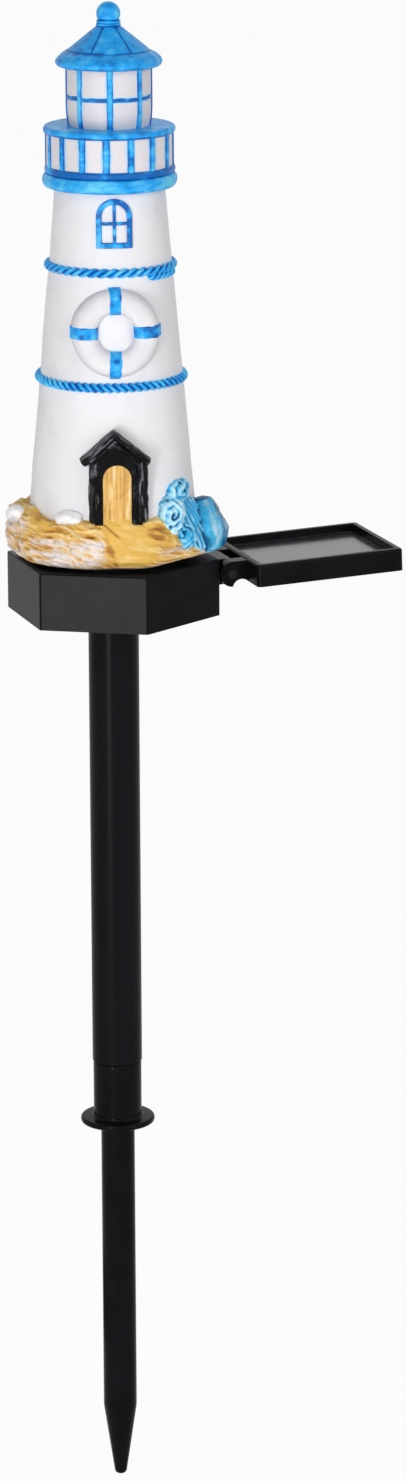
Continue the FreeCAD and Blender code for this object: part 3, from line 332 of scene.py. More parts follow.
def rough(points, size, seed):
    """Smooth random height from -1 to 1 that changes over a size: random values on a lattice of
    that spacing, blended between the eight corners round each point."""
    lattice = np.random.default_rng(seed).uniform(-1, 1, (24, 24, 24))
    cell = np.floor(points / size).astype(int)
    t = points / size - cell
    t = t * t * (3 - 2 * t)
    total = 0
    for corner in np.ndindex(2, 2, 2):
        i, j, k = np.moveaxis((cell + corner) % 24, -1, 0)
        total = total + lattice[i, j, k] * np.where(corner, t, 1 - t).prod(axis=-1)
    return total


def painted(
    name, main, deep, pale, stroke, roughness, bump=0.3, blotch=1.1, sheen=0.5, stretch=(1, 1, 1)
):
    """Acrylic paint, brushed by hand over cast resin. A darker wash stays in the crevices and a dry
    brush leaves the ridges pale; the same mark also darkens painted shade and pales painted
    highlights where a piece puts them. Strokes of a size in millimetres show as patches, which a
    larger blotch makes stronger and stretch draws out along an axis. Sheen is the specular level;
    it is under the usual 0.5 where the white surround would wash a strong colour out."""
    made, tree, shader, place = begin(name)
    place = add(tree, "Mapping", {"Vector": place, "Scale": stretch})
    strokes = add(tree, "TexNoise", {"Vector": place, "Scale": 1000 / stroke, "Detail": 3.0})
    bristles = add(tree, "TexNoise", {"Vector": place, "Scale": 5000 / stroke, "Detail": 2.0})
    crevice_and_shade = add(tree, "Attribute", {}, "Fac", attribute_name="crevice_and_shade")
    wash = add(tree, "Math", {0: strokes, 1: blotch, 2: crevice_and_shade}, operation="MULTIPLY_ADD")
    even = blotch / 2
    tint = linear(main)
    for start, end, colour in ((even + 0.1, even + 0.6, deep), (even - 0.1, even - 0.75, pale)):
        share = add(tree, "MapRange", {"Value": wash, "From Min": start, "From Max": end})
        tint = add(tree, "Mix", {0: share, 6: tint, 7: linear(colour)}, 2, data_type="RGBA")
    dull, shiny = roughness + 0.1, roughness - 0.1
    gloss = add(tree, "MapRange", {"Value": bristles, "To Min": shiny, "To Max": dull})
    relief = add(tree, "Bump", {"Height": bristles, "Strength": bump, "Distance": 6e-5})
    fill(shader, {"Base Color": tint, "Roughness": gloss, "Normal": relief})
    fill(shader, {"IOR": 1.5, "Specular IOR Level": sheen})
    return made


tower_floor = tower_seat + TOWER_WALL
tower_outline = [
    (TOWER_NECK_R - TOWER_WALL, base_top),
    (TOWER_NECK_R, base_top),
    (TOWER_NECK_R, tower_seat),
    *[(tower_radius(z), z) for z in np.linspace(tower_seat, tower_top, 60)],
    (TOWER_TOP_R - TOWER_WALL, tower_top),
    (tower_radius(tower_floor) - TOWER_WALL, tower_floor),
    (TOWER_NECK_R - TOWER_WALL, tower_floor),
]
tower = lathe(tower_outline, 240)
tower_waver = TOWER_WAVER * (rough(tower, 11, 1) + 0.5 * rough(tower, 4, 2))
tower[..., :2] *= 1 + (tower_waver / TOWER_NECK_R)[..., None]
# Matt white paint: clean and cool, with broad strokes that hardly show.
white_paint = painted("Matt white painted resin", "#e6e5e8", "#d3d2d6", "#efeef0", 9, 0.6, 0.15)
cast(
    "tower_casting", white_paint, "white_resin", "tower_shell",
    [(tower, True, True, {"crevice_and_shade": 1.5 * tower_waver})],
)


# Rock: a low mound cast in resin round the tower's foot, painted ochre and dry-brushed with cream
# and white. A smooth path runs down it from the door, and it falls away to the right.
ROCK_HALF_WIDTH = 33.6
ROCK_HALF_DEPTH = 29.2
ROCK_HEIGHT = 16.7
ROCK_LEAST_HEIGHT = 4.5
ROCK_SHOULDER_DROP = 0.8
ROCK_FOOT_INSET = 4.0
ROCK_INTO_TOWER = 1.2
ROCK_FALL_START = 11.0
ROCK_FALL = math.tan(math.radians(36))
RIGHT_FOOT_LIFT = 1.4
HUMP_ANGLE = -166
HUMP_RISE = 0.5
HUMP_ROUND = 0.7
SILL_RISE = 2.0
SILL_LEFT = -104
SILL_RIGHT = -78
SILL_SOFT = 6
PATH_LEFT = -106
PATH_RIGHT = -66
STRATA_DIP = 0.24
STRATA_WAVER = 1.0
CRACK_DEPTH = 0.8
SOFT_EDGES = math.radians(80)
rock_top = base_top + ROCK_HEIGHT


def bell(value, middle, width):
    """Bell curve: 1 at the middle, and about a third at a width from it."""
    return np.exp(-(((value - middle) / width) ** 2))


def bell_round(degrees, middle, width):
    """Bell curve over angles in degrees, counted the short way round."""
    return bell((degrees - middle + 180) % 360 - 180, 0, width)


def step(value, start, end):
    """Smooth step from 0 at the start to 1 at the end."""
    t = np.clip((value - start) / (end - start), 0, 1)
    return t * t * (3 - 2 * t)


def rock_reach(angle):
    """Radius of the mound's plan: an oval with five bulges and nine notches."""
    oval = 1 / np.hypot(np.cos(angle) / ROCK_HALF_WIDTH, np.sin(angle) / ROCK_HALF_DEPTH)
    return oval + 0.6 * np.sin(5 * angle + 0.6) + 0.36 * np.sin(9 * angle)


def mound():
    """The rock's grid: at each angle an outline goes from the foot out over a bulge, up the face
    and in over the top to the tower, with a hump at the left and a sill under the door. Crags, wavy
    layers that dip to the right, flakes and grit roughen the face; the path stays nearly smooth,
    with a crack across it. Returns the points and their marks."""
    angle = np.linspace(-np.pi, np.pi, 600, endpoint=False)[:, None]
    degrees = np.degrees(angle)
    t = np.linspace(0, 1, 130)
    knots = [0, 0.08, 0.2, 0.38, 0.55, 0.68, 0.78, 1]
    inset = np.interp(t, knots, [ROCK_FOOT_INSET, 2.0, 0.5, 0, 0.3, 1.0, 2.0, 2.0])
    climb = np.interp(t, knots, [0, 0.05, 0.17, 0.42, 0.66, 0.85, 0.96, 1])
    inward = step(t, 0.74, 1.0)
    crest = rock_top - ROCK_SHOULDER_DROP + HUMP_RISE * bell_round(degrees, HUMP_ANGLE, 19)
    crest = crest - 0.6 * bell_round(degrees, -140, 8) + 0.5 * bell_round(degrees, -115, 8)
    fall = rock_top - ROCK_FALL * (tower_radius(rock_top) * np.cos(angle) - ROCK_FALL_START)
    crest = np.minimum(crest, np.maximum(fall, base_top + ROCK_LEAST_HEIGHT))
    reach = rock_reach(angle) - inset
    wall = tower_radius(crest) - ROCK_INTO_TOWER
    r = reach + (wall - reach) * inward
    z = base_top + climb * (crest - base_top)
    z = z + RIGHT_FOOT_LIFT * step(degrees, -78, -40) * step(degrees, 40, 10) * step(t, 0.5, 0.0)
    z = z + HUMP_ROUND * bell_round(degrees, HUMP_ANGLE, 17) * bell(t, 0.87, 0.13)
    sill = step(degrees, SILL_LEFT, SILL_LEFT + SILL_SOFT)
    sill = sill * step(degrees, SILL_RIGHT, SILL_RIGHT - SILL_SOFT)
    z = z + SILL_RISE * sill * step(t, 0.5, 0.84)
    points = polar(r, angle, z)

    depth = (rock_top - z) / ROCK_HEIGHT
    path_left = PATH_LEFT + 12 * depth
    path_right = PATH_RIGHT + 2 * depth
    path = step(degrees, path_left, path_left + 7) * step(degrees, path_right, path_right - 9)
    bent = points + rough(points, 6, 7)[..., None] * [0, 0, STRATA_WAVER]
    layered = bent + points[..., :1] * [0, 0, STRATA_DIP]
    strata = rough(layered * [0.22, 0.22, 0.8], 1, 4)
    flakes = rough(layered * [0.32, 0.32, 1.4], 1, 5)
    crags = rough(points * [1, 1, 1.3], 7, 3)
    grit = rough(points, 0.9, 6)
    craggy = 0.8 * crags + strata + 0.85 * flakes + 0.3 * grit
    soft = 0.3 * crags + 0.35 * strata + 0.12 * flakes
    crack = bell(degrees + 104, 40 * depth, 1.4) * step(depth, 0.5, 0.3)
    hold = step(t, 0, 0.1) * step(t, 1.0, 0.9)
    lift = (craggy * (1 - path) + soft * path - CRACK_DEPTH * crack) * hold
    up = np.clip(0.25 + inward, 0, 1)
    points = points + lift[..., None] * polar(1 - up, angle, up)

    front = step(degrees, -158, -142) * step(degrees, -94, -103) * step(depth, 0.3, 0.5)
    right = 0.62 * step(degrees, -74, -66) * step(depth, 0.3, 0.7)
    left = step(np.abs(degrees), 142, 158) * step(depth, 0.02, 0.25)
    zone = np.maximum(np.maximum(front, right) * (1 - path), left)
    brushed = zone * (0.66 + 0.45 * strata + 0.45 * flakes + 0.2 * grit)
    chalk_and_highlight = np.maximum(np.clip(brushed, 0, 1), 0.6 * step(t, 0.15, 0.06))
    # A darker, browner patch on the right flank, beside the wave.
    dark_patch_beside_wave = 0.6 * bell_round(degrees, -64, 7) * step(depth, 0.1, 0.25) * step(depth, 0.55, 0.4)
    edge = 4 * path * (1 - path) * step(depth, 0.2, 0.5) * (degrees < -85)
    # Raised layers, flakes and crags are paler and sunk ones darker, partly as a wash and dry brush and
    # partly as painted shade and highlight; the crack and the path's left edge are darker too.
    crevice_and_shade = (-0.4 * strata - 0.65 * flakes - 0.25 * crags) * (1 - 0.7 * path)
    crevice_and_shade = np.clip(crevice_and_shade + 0.8 * crack + 0.6 * edge + dark_patch_beside_wave, -1, 1) * hold
    return points, {"crevice_and_shade": crevice_and_shade, "chalk_and_highlight": chalk_and_highlight, "veined": 1 - 0.85 * path}


rock, rock_marks = mound()
rock = np.concatenate([rock[:, :1] * [0.85, 0.85, 1], rock, rock[:, -1:] * [0.8, 0.8, 1]], axis=1)
rock_marks = {name: np.pad(mark, ((0, 0), (1, 1)), "edge") for name, mark in rock_marks.items()}
# Ochre paint over cast resin: golden, browner in the cracks and paler on the ridges, partly as a
# wash and a dry brush and partly as painted shade and highlight. Where the dry brush went over
# the rough face it is cream, then chalky white with a pink cast and mauve cracks.
# Fine dark lines and streaks follow the layers' dip and waver; the broad patches don't.
rock_paint, tree, shader, place = begin("Ochre painted resin")
crevice_and_shade, chalk_and_highlight, veined = [
    add(tree, "Attribute", {}, "Fac", attribute_name=mark) for mark in ("crevice_and_shade", "chalk_and_highlight", "veined")
]
swirl = add(tree, "TexNoise", {"Vector": place, "Scale": 1000 / 7.0, "Detail": 1.0}, "Color")
wavy = add(tree, "VectorMath", {0: swirl, 1: (0, 0, 0.005), 2: place}, operation="MULTIPLY_ADD")
dip = {"Rotation": (0, math.atan(STRATA_DIP), 0), "Scale": (4.5, 4.5, 1)}
layers = add(tree, "Mapping", {"Vector": wavy, **dip}, vector_type="TEXTURE")
streaks, bends, patches, grit = [
    add(tree, "TexNoise", {"Vector": where, "Scale": 1000 / size, "Detail": detail, "Distortion": twist})
    for where, size, detail, twist in (
        (layers, 1.3, 5.0, 0.6), (layers, 3.0, 2.0, 0.8), (place, 4.0, 4.0, 1.0), (place, 0.5, 2.0, 0.0)
    )
]
broad = add(tree, "Math", {0: patches, 1: 0.6, 2: crevice_and_shade}, operation="MULTIPLY_ADD")
wash = add(tree, "Math", {0: streaks, 1: 0.45, 2: broad}, operation="MULTIPLY_ADD")
dry = add(tree, "Math", {0: streaks, 1: -0.9, 2: chalk_and_highlight}, operation="MULTIPLY_ADD")
ridges, cracks, thin, thick = [
    add(tree, "MapRange", {"Value": value, "From Min": start, "From Max": end})
    for value, start, end in ((wash, 0.55, -0.1), (wash, 0.8, 1.3), (dry, -0.25, 0.3), (dry, 0.0, 0.5))
]
# Mauve where the pale brush lies over the dark of the cracks, which is partly painted shade.
mauve_in_cracks = add(tree, "Math", {0: cracks, 1: thin}, operation="MULTIPLY")
off_middle = add(tree, "Math", {0: bends, 1: 0.5}, operation="SUBTRACT")
off_line = add(tree, "Math", {0: off_middle}, operation="ABSOLUTE")
vein_limits = {"From Min": 0.012, "From Max": 0.045, "To Min": 0.42, "To Max": 0.0}
veins = add(tree, "MapRange", {"Value": off_line, **vein_limits})
drawn = add(tree, "Math", {0: veins, 1: veined}, operation="MULTIPLY")
line = add(tree, "Mix", {0: thin, 6: linear("#9a6224"), 7: linear("#8a7370")}, 2, data_type="RGBA")
tint = linear("#dbae4e")
for share, colour in (
    (ridges, linear("#f0d698")), (cracks, linear("#a86f26")), (thin, linear("#e6c8a0")),
    (thick, linear("#e2d8d3")), (mauve_in_cracks, linear("#a58c86")), (drawn, line),
):
    tint = add(tree, "Mix", {0: share, 6: tint, 7: colour}, 2, data_type="RGBA")
relief = add(tree, "Bump", {"Height": grit, "Strength": 0.5, "Distance": 1.2e-4})
fill(shader, {"Base Color": tint, "Roughness": 0.62, "Normal": relief, "IOR": 1.5})
cast(
    "rock_casting", rock_paint, "ochre_resin", "rock_base", [(rock, True, True, rock_marks)],
    sharp=SOFT_EDGES,
)


# Shore stones: two washed stones of the same resin, painted chalk white with a grey wash. One lies
# against the tower beside the porch, one on the rock's left shoulder.
STONES = (
    # Angle, distance from the axis, rise over the rock's top, half sizes along, out and up, seed.
    (-125, 26.4, -0.8, (5.0, 3.2, 2.8), 11),
    (-167, 32.0, -1.9, (3.7, 3.0, 2.8), 12),
)


def stone(degrees, reach, rise_over_rock, halves, seed):
    """Rounded stone: a ball stretched along the wall, outward and up, with soft dents."""
    rise = np.linspace(-np.pi / 2, np.pi / 2, 49)
    along, out, up = halves
    ball = polar(np.cos(rise), circle(96)[:, None], np.sin(rise))
    dents = 0.1 * rough(ball * out, 1.9, seed) + 0.04 * rough(ball * out, 0.8, seed + 40)
    ball = ball * (1 + dents)[..., None]
    a = math.radians(degrees)
    x = (reach + ball[..., 1] * out) * math.cos(a) - ball[..., 0] * along * math.sin(a)
    y = (reach + ball[..., 1] * out) * math.sin(a) + ball[..., 0] * along * math.cos(a)
    z = rock_top + rise_over_rock + ball[..., 2] * up
    # Painted shade: each stone greys towards its underside.
    shadow = step(ball[..., 2], 0.1, -0.6)
    return at(x, y, z), True, False, {"crevice_and_shade": 0.5 * shadow - 2 * dents}


# Chalk white paint: dry and bright, greyer in the dents, and with painted shade underneath.
chalk_paint = painted("Chalk white painted resin", "#f0eeee", "#c4bfc0", "#f8f6f6", 3, 0.6)
stones = [stone(*values) for values in STONES]
cast("washed_stones", chalk_paint, "white_resin", "shore_stones", stones)


# Wave: a breaker cast in resin against the rock's right side. A broad tongue of water stands up, a
# crest rolls over beside it, ribbons of water run down between them, and foam curls up the wall.
# Painted azure, with pale cyan dry-brushed over the foam, and with painted shade and a painted highlight
# on the tongue and the rolls.
WAVE_HEIGHT = 28.0
WAVE_LEFT = -76
WAVE_RIGHT = 12
WAVE_R = 31.0
WAVE_FOOT_LIFT = 1.4
WAVE_SET_IN = 3.0
TONGUE_RIGHT = 9
TONGUE_LEFT_ROUND = 1.8
TONGUE_RIGHT_ROUND = 4.0
ROLL_R = 29.0
RIBBON_PITCH = 1.9


def rounded(inside, width):
    """Quarter-round edge: 0 at the edge, rising to 1 at a width inside it."""
    return np.sqrt(1 - (1 - np.clip(inside / width, 0, 1)) ** 2)


def roll(degrees, z, middle, halves, lean, thick, turns, way, eye, seed):
    """Rolled crest: a dome on the wall round a middle (degrees, z), with half width and half height,
    leaning over, and with a ridge that winds in a spiral round an eye beside the middle. Returns how
    far it stands out from the tower's wall, and its ridge from -1 to 1."""
    a = np.radians(degrees - middle[0]) * ROLL_R
    b = z - middle[1]
    a, b = a * math.cos(lean) + b * math.sin(lean), b * math.cos(lean) - a * math.sin(lean)
    warp = rough(at(a, b, 0), 1.7, seed)
    froth = rough(at(a, b, 5), 0.9, seed + 50)
    rho = np.hypot(a / halves[0], b / halves[1]) + 0.08 * warp
    a = a - eye * halves[0]
    spin = np.hypot(a / halves[0], b / halves[1]) + 0.1 * warp
    wind = np.cos(2 * np.pi * turns * spin - way * np.arctan2(b, a) + 1.3 * warp)
    wind = 0.75 * wind + 0.95 * froth - 1.1 * bell(spin, 0, 0.2)
    # The dome drops back near its outer rim, and the ridge's low value there paints shade on its flank.
    wind = wind * step(rho, 1.0, 0.85) - 0.6 * step(rho, 0.8, 1.0)
    dome = thick * np.clip(1 - rho**2, 0, 1) ** 0.62 + 0.5 * wind
    return np.where(rho < 1, dome, -WAVE_SET_IN), wind


def breaker():
    """The wave's grid: at each angle an outline goes up from the foot. Its forms are distances from
    the axis, and the surface follows the farthest of them: the tongue with its rounded sides, the
    ribbons beside it, and the rolls. A dark crease lies where two of them meet, as painted shade,
    and the tongue's left side and its top and right rim carry painted shade too."""
    degrees = np.linspace(WAVE_LEFT, WAVE_RIGHT, 320)[:, None]
    angle = np.radians(degrees)
    up = np.linspace(0, WAVE_HEIGHT, 180)
    z = base_top + up + 0 * degrees
    wall = tower_radius(z)
    back = wall - WAVE_SET_IN
    spot = polar(wall, angle, z)
    waver = rough(spot, 3.0, 22)
    fine = rough(spot * [1, 1, 0.6], 1.1, 23)

    top = 1 + 0.16 * step(degrees, -4, -20) - 0.2 * step(degrees, -4, 6)
    knots = [0, 0.6, 2.5, 5.6, 7.8, 10, 12.8, 15.4, 17, 17.9, 18.5]
    profile = [32.0, 34.2, 35.9, 36.6, 36.9, 36.1, 34.4, 33.1, 32.1, 30.2, 20.0]
    face = np.interp(up / top, knots, profile)
    face = face - 4.0 * (1 - step(degrees, -40, -8)) + 0.4 * waver + 0.25 * fine
    inside = np.radians(degrees - np.interp(up, [0, 10, 21], [-35, -31.5, -27.5])) * WAVE_R
    outside = np.radians(TONGUE_RIGHT - degrees) * WAVE_R
    sides = rounded(inside, TONGUE_LEFT_ROUND) * rounded(outside, TONGUE_RIGHT_ROUND)
    tongue = back + (face - back) * sides

    ribbon = np.cos(2 * np.pi * (angle * WAVE_R + 0.31 * up + 0.5 * waver) / RIBBON_PITCH)
    knots = [0, 0.8, 2.5, 6, 10, 14, 17, 20, 21.3]
    swell = np.interp(up, knots, [-3.6, -1.6, 0.2, 0.4, -0.6, -2.2, -3.2, -4.6, -12])
    knots = [-64, -60, -56, -52, -49, -43, -38, -25, -10]
    low = np.interp(degrees, knots, [40, 16, 12, 10, 8.3, 5.6, 3.6, 0, -3])
    over = rounded(up - low, 1.4) * step(degrees, -18, -26)
    sheet = back + (rock_reach(angle) + swell - back + 0.35 * ribbon) * over

    rolls = [
        roll(degrees, z, (-51.5, rock_top - 0.5), (5.4, 7.0), -0.16, 4.6, 2.5, 1, -0.3, 24),
        roll(degrees, z, (-42, rock_top + 6.4), (6.4, 3.8), 0.2, 2.8, 1.6, -1, 0.25, 25),
        roll(degrees, z, (-44, rock_top - 7.8), (2.7, 5.0), -0.6, 6.6, 2.2, 1, -0.9, 26),
    ]
    winds = [wind for out, wind in rolls]
    forms = np.stack([back, tongue, sheet] + [wall + out for out, wind in rolls])
    which = forms.argmax(axis=0)
    near, r = np.sort(forms, axis=0)[-2:]
    crease = np.exp(-(r - near) / 0.4) * step(near - wall, -1.5, 0.0)
    # Painted shade on the tongue's top and right rim and on its left side; the gleam is a painted
    # highlight inside the right rim and low on the tongue.
    rim = np.maximum(step(degrees, -20, -15) * step(up, 2, 5), step(up / top, 16.2, 17.2))
    side = 0.9 * (step(inside, 2.6, 0.4) + rim) + 0.7 * waver + 0.3 * fine
    gleam = bell(degrees, -23, 3.2) * step(up, 5, 9) * (1 - rim)
    gleam = gleam + bell(up, 5, 5) * step(inside, 2, 5) * step(degrees, -17, -24)
    crevice_and_shade = np.choose(which, [0 * z, side, -0.75 * ribbon] + [-0.8 * wind for wind in winds])
    foam_and_highlight = [0 * z, 0.1 + 0.4 * gleam - 0.25 * waver, 0.2 + 0.3 * ribbon]
    foam_and_highlight = foam_and_highlight + [0.58 + 0.5 * winds[0], 0.42 + 0.45 * winds[1], 0.22 + 0.45 * winds[2]]
    bent = 0.4 * np.clip(31.6 - r, 0, 6) * (which == 1) * step(up / top, 16.0, 17.0)
    points = polar(r, angle, z + WAVE_FOOT_LIFT * step(up, 4, 0) - bent)
    chalk_and_highlight = np.choose(which, foam_and_highlight) + 0.3 * fine
    return points, {"crevice_and_shade": crevice_and_shade + 0.9 * crease + 0.25 * fine, "chalk_and_highlight": chalk_and_highlight}


wave, wave_marks = breaker()
wave = np.concatenate([wave[:, :1] * [0.8, 0.8, 1], wave, wave[:, -1:] * [0.8, 0.8, 1]], axis=1)
ends = wave[[0, -1]].mean(axis=1, keepdims=True) * [0.9, 0.9, 1] + 0 * wave[[0, -1]]
wave = np.concatenate([ends[:1], wave, ends[1:]])
wave_marks = {name: np.pad(mark, 1, "edge") for name, mark in wave_marks.items()}
# Acrylic paint over cast resin: azure, deep blue in the creases, pale cyan where the foam is, with
# a satin varnish. The deep blue of the creases, of the tongue's turned-away edges and of the
# rolls' rims is painted shade, and some of the pale cyan on the tongue is a painted highlight.
# The specular level is low, so that the white surround leaves the blue strong.
wave_paint, tree, shader, place = begin("Azure and foam painted resin")
crevice_and_shade, chalk_and_highlight = [
    add(tree, "Attribute", {}, "Fac", attribute_name=mark) for mark in ("crevice_and_shade", "chalk_and_highlight")
]
strokes = add(tree, "TexNoise", {"Vector": place, "Scale": 1000 / 3.5, "Detail": 3.0})
bristles = add(tree, "TexNoise", {"Vector": place, "Scale": 1000 / 0.7, "Detail": 2.0})
wet = add(tree, "Math", {0: strokes, 1: 0.6, 2: crevice_and_shade}, operation="MULTIPLY_ADD")
dry = add(tree, "Math", {0: bristles, 1: 0.5, 2: chalk_and_highlight}, operation="MULTIPLY_ADD")
deep = add(tree, "MapRange", {"Value": wet, "From Min": 0.6, "From Max": 1.3})
foam_and_highlight = add(tree, "MapRange", {"Value": dry, "From Min": 0.45, "From Max": 1.15})
tint = linear("#1d9fdb")
for share, colour in ((strokes, "#50c3ef"), (deep, "#05547f"), (foam_and_highlight, "#c4ebf8")):
    tint = add(tree, "Mix", {0: share, 6: tint, 7: linear(colour)}, 2, data_type="RGBA")
relief = add(tree, "Bump", {"Height": bristles, "Strength": 0.3, "Distance": 6e-5})
fill(shader, {"Base Color": tint, "Roughness": 0.32, "Normal": relief})
fill(shader, {"IOR": 1.5, "Specular IOR Level": 0.15})
cast(
    "breaking_wave", wave_paint, "wave_resin", "wave", [(wave, False, True, wave_marks)],
    sharp=SOFT_EDGES,
)


# Porch: a gabled porch cast against the tower, carved to look like rough timber and painted a
# glossy black. Two logs, two pairs of roof boards, and a panel round the doorway.
PORCH_EAVE_WIDTH = 20.8
PORCH_EAVE_SHIFT = 0.8
PORCH_EAVE_REACH = 0.2
PORCH_PEAK_SHIFT = 1.4
PORCH_GABLE = 9.4
PORCH_SET_IN = 3.4
PORCH_ROOF_T = 2.6
PORCH_ROOF_RELIEF = 3.0
PORCH_RAFTER_T = 1.8
PORCH_RAFTER_INSET = 2.5
PORCH_RAFTER_RELIEF = 2.3
PORCH_POST_WIDTH = 3.6
PORCH_POST_INSET = 1.1
PORCH_POST_RELIEF = 1.9
PORCH_POST_SINK = 1.6
PORCH_POST_LEAN = 0.3
PORCH_POST_LAP = 0.4
PORCH_PANEL_RELIEF = 1.0
PORCH_PANEL_DROP = 1.2
PORCH_CHIPS = 0.2
PORCH_CARVING = 0.26
BOARD_OVERLAP = 0.5
DOOR_WIDTH = 9.0
DOOR_X = -0.4
DOOR_HEAD_GAP = 1.8
DOOR_SINK = 2.0
porch_peak = span("porch")[1][2]
porch_eave = porch_peak - PORCH_GABLE
porch_wall = tower_radius(rock_top)
door_top = porch_eave - DOOR_HEAD_GAP
door_foot = rock_top - DOOR_SINK


def timber(ends, width, relief, seed):
    """Carved timber between two (x, z) points: a rounded-square section carried along the line,
    drawn in at both ends, with long grain cut into it. Its back is inside the tower's wall."""
    start, end = np.array(ends)
    length = np.linalg.norm(end - start)
    line = (end - start) / length
    s = np.linspace(0, 1, 90)[:, None]
    turn = circle(72)
    blunt = np.sqrt(1 - np.abs(2 * s - 1) ** 26)
    across = width / 2 * np.sign(np.cos(turn)) * np.abs(np.cos(turn)) ** 0.6 * blunt
    thick = relief + PORCH_SET_IN
    deep = thick / 2 * np.sign(np.sin(turn)) * np.abs(np.sin(turn)) ** 0.6 * blunt
    along = s * length
    grain = at(along / 4, across / 0.9, deep / 0.9)
    cuts = rough(grain, 1, seed) + 0.5 * rough(grain * [1.5, 2.2, 2.2], 1, seed + 1)
    knots = rough(grain * [2.5, 0.5, 0.5], 1, seed + 2)
    carve = PORCH_CARVING * cuts + 0.2 * knots
    across = across + carve * np.cos(turn)
    deep = deep + carve * np.sin(turn)
    x = start[0] + along * line[0] - across * line[1]
    z = start[1] + along * line[1] + across * line[0]
    y = -porch_wall - relief + thick / 2 + deep
    return at(x, y, z), False, True, {"crevice_and_shade": 0.3 - 1.3 * cuts}


def arch(half, bottom, top):
    """Closed outline of an arched opening: up the left side, over a half circle, down the right
    side and back along the sill."""
    t = np.linspace(0, 1, 24, endpoint=False)
    spring = top - half
    sides = [
        (-half + 0 * t, bottom + (spring - bottom) * t),
        (-half * np.cos(np.pi * t), spring + half * np.sin(np.pi * t)),
        (half + 0 * t, spring + (bottom - spring) * t),
        (half - 2 * half * t, bottom + 0 * t),
    ]
    return np.concatenate(sides, axis=1).T


def board_ends(width, peak, thick, side):
    """Lower and upper end of one sloping roof board, on its middle line. The two boards of a pair
    cross a little at the peak."""
    drop = PORCH_GABLE * width / PORCH_EAVE_WIDTH
    low = side * (width / 2 + PORCH_EAVE_REACH) - PORCH_EAVE_SHIFT, peak - drop - thick / 2
    high = -side * (thick / 5 + BOARD_OVERLAP) - PORCH_PEAK_SHIFT, peak - thick / 2 + BOARD_OVERLAP
    return low, high


post_x = PORCH_EAVE_WIDTH / 2 - PORCH_POST_INSET - PORCH_POST_WIDTH / 2
rafter_peak = porch_peak - PORCH_ROOF_T
rafter_width = PORCH_EAVE_WIDTH - 2 * PORCH_RAFTER_INSET
timbers = []
for side in (-1, 1):
    board = board_ends(PORCH_EAVE_WIDTH, porch_peak, PORCH_ROOF_T, side)
    rafter = board_ends(rafter_width, rafter_peak, PORCH_RAFTER_T, side)
    post_foot = side * post_x, rock_top - PORCH_POST_SINK
    post_head = side * (post_x - PORCH_POST_LEAN), porch_eave + PORCH_POST_LAP
    timbers.append(timber(board, 0.95 * PORCH_ROOF_T, PORCH_ROOF_RELIEF, 31 + side))
    timbers.append(timber(rafter, 1.1 * PORCH_RAFTER_T, PORCH_RAFTER_RELIEF, 36 + side))
    timbers.append(timber((post_foot, post_head), PORCH_POST_WIDTH, PORCH_POST_RELIEF, 41 + side))
inner = arch(DOOR_WIDTH / 2, door_foot, door_top) + [DOOR_X, 0]
outer = arch(post_x, door_foot, rafter_peak - PORCH_PANEL_DROP)
across = np.array([0, 0, 0.08, 0.5, 1, 1])
relief = np.array([-PORCH_SET_IN, 0.7, *[PORCH_PANEL_RELIEF] * 3, -PORCH_SET_IN])
surround = inner[:, None] + (outer - inner)[:, None] * across[:, None]
x, z = surround[..., 0], surround[..., 1]
chips = rough(at(x, z, relief), 1.6, 45)
panel = at(x, -porch_wall - relief - PORCH_CHIPS * chips * (relief > 0), z)
# Gloss black paint: black in the cuts, and grey on the timber's raised edges, partly where a dry brush
# caught them and partly as a painted highlight for glints.
porch_paint = painted(
    "Gloss black painted resin", "#0b0b0f", "#050507", "#6c6a72", 0.9, 0.24, 0.6, 1.4, 0.1
)
cast(
    "timber_porch", porch_paint, "black_resin", "porch",
    timbers + [(panel, True, True, {"crevice_and_shade": 0.2 - 0.6 * chips})],
)


# Door: an arched door of four planks, cast with the porch and painted ochre with a brown grain
# brushed down it. It is set a little way back in the doorway.
DOOR_PLANKS = 4
DOOR_RELIEF = 0.5
DOOR_GROOVE = 0.22
DOOR_GROOVE_HALF = 0.28
DOOR_GRAIN = 0.07
DOOR_GAP = 0.05
DOOR_SET_IN = 1.5
half = DOOR_WIDTH / 2 - DOOR_GAP
x = np.linspace(-half, half, 121)[:, None]
head = door_top - DOOR_WIDTH / 2 + np.sqrt(np.maximum(half**2 - x**2, 0.0))
z = door_foot + np.linspace(0, 1, 60) * (head - door_foot)
plank = (x + half) / (2 * half) * DOOR_PLANKS
gap = bell((plank - np.round(plank)) * 2 * half / DOOR_PLANKS, 0, DOOR_GROOVE_HALF)
gap = gap * (np.abs(plank - DOOR_PLANKS / 2) < DOOR_PLANKS / 2 - 0.5)
leaf = at(x + DOOR_X, -porch_wall - DOOR_RELIEF, z)
grain = rough(leaf * [1, 1, 0.12], 0.7, 51)
leaf[..., 1] += DOOR_GROOVE * gap - DOOR_GRAIN * grain
rim = np.pad(leaf, ((1, 1), (1, 1), (0, 0)), "edge")
back = rim.copy()
back[..., 1] = DOOR_SET_IN - porch_wall
rim[[0, -1], :, 1] = DOOR_SET_IN - porch_wall
rim[:, [0, -1], 1] = DOOR_SET_IN - porch_wall
# Ochre paint, brushed as wood: golden, with brown and cream strokes down the planks.
door_paint = painted("Ochre wood-grain paint", "#dcae5c", "#bd8b40", "#f3dfb0", 2.2, 0.5)
door_marks = {"crevice_and_shade": np.pad(0.3 * gap - 0.7 * grain, 1, "edge")}
cast(
    "plank_door", door_paint, "door_resin", "door",
    [(rim, False, False, door_marks), (back, False, False, {})],
)


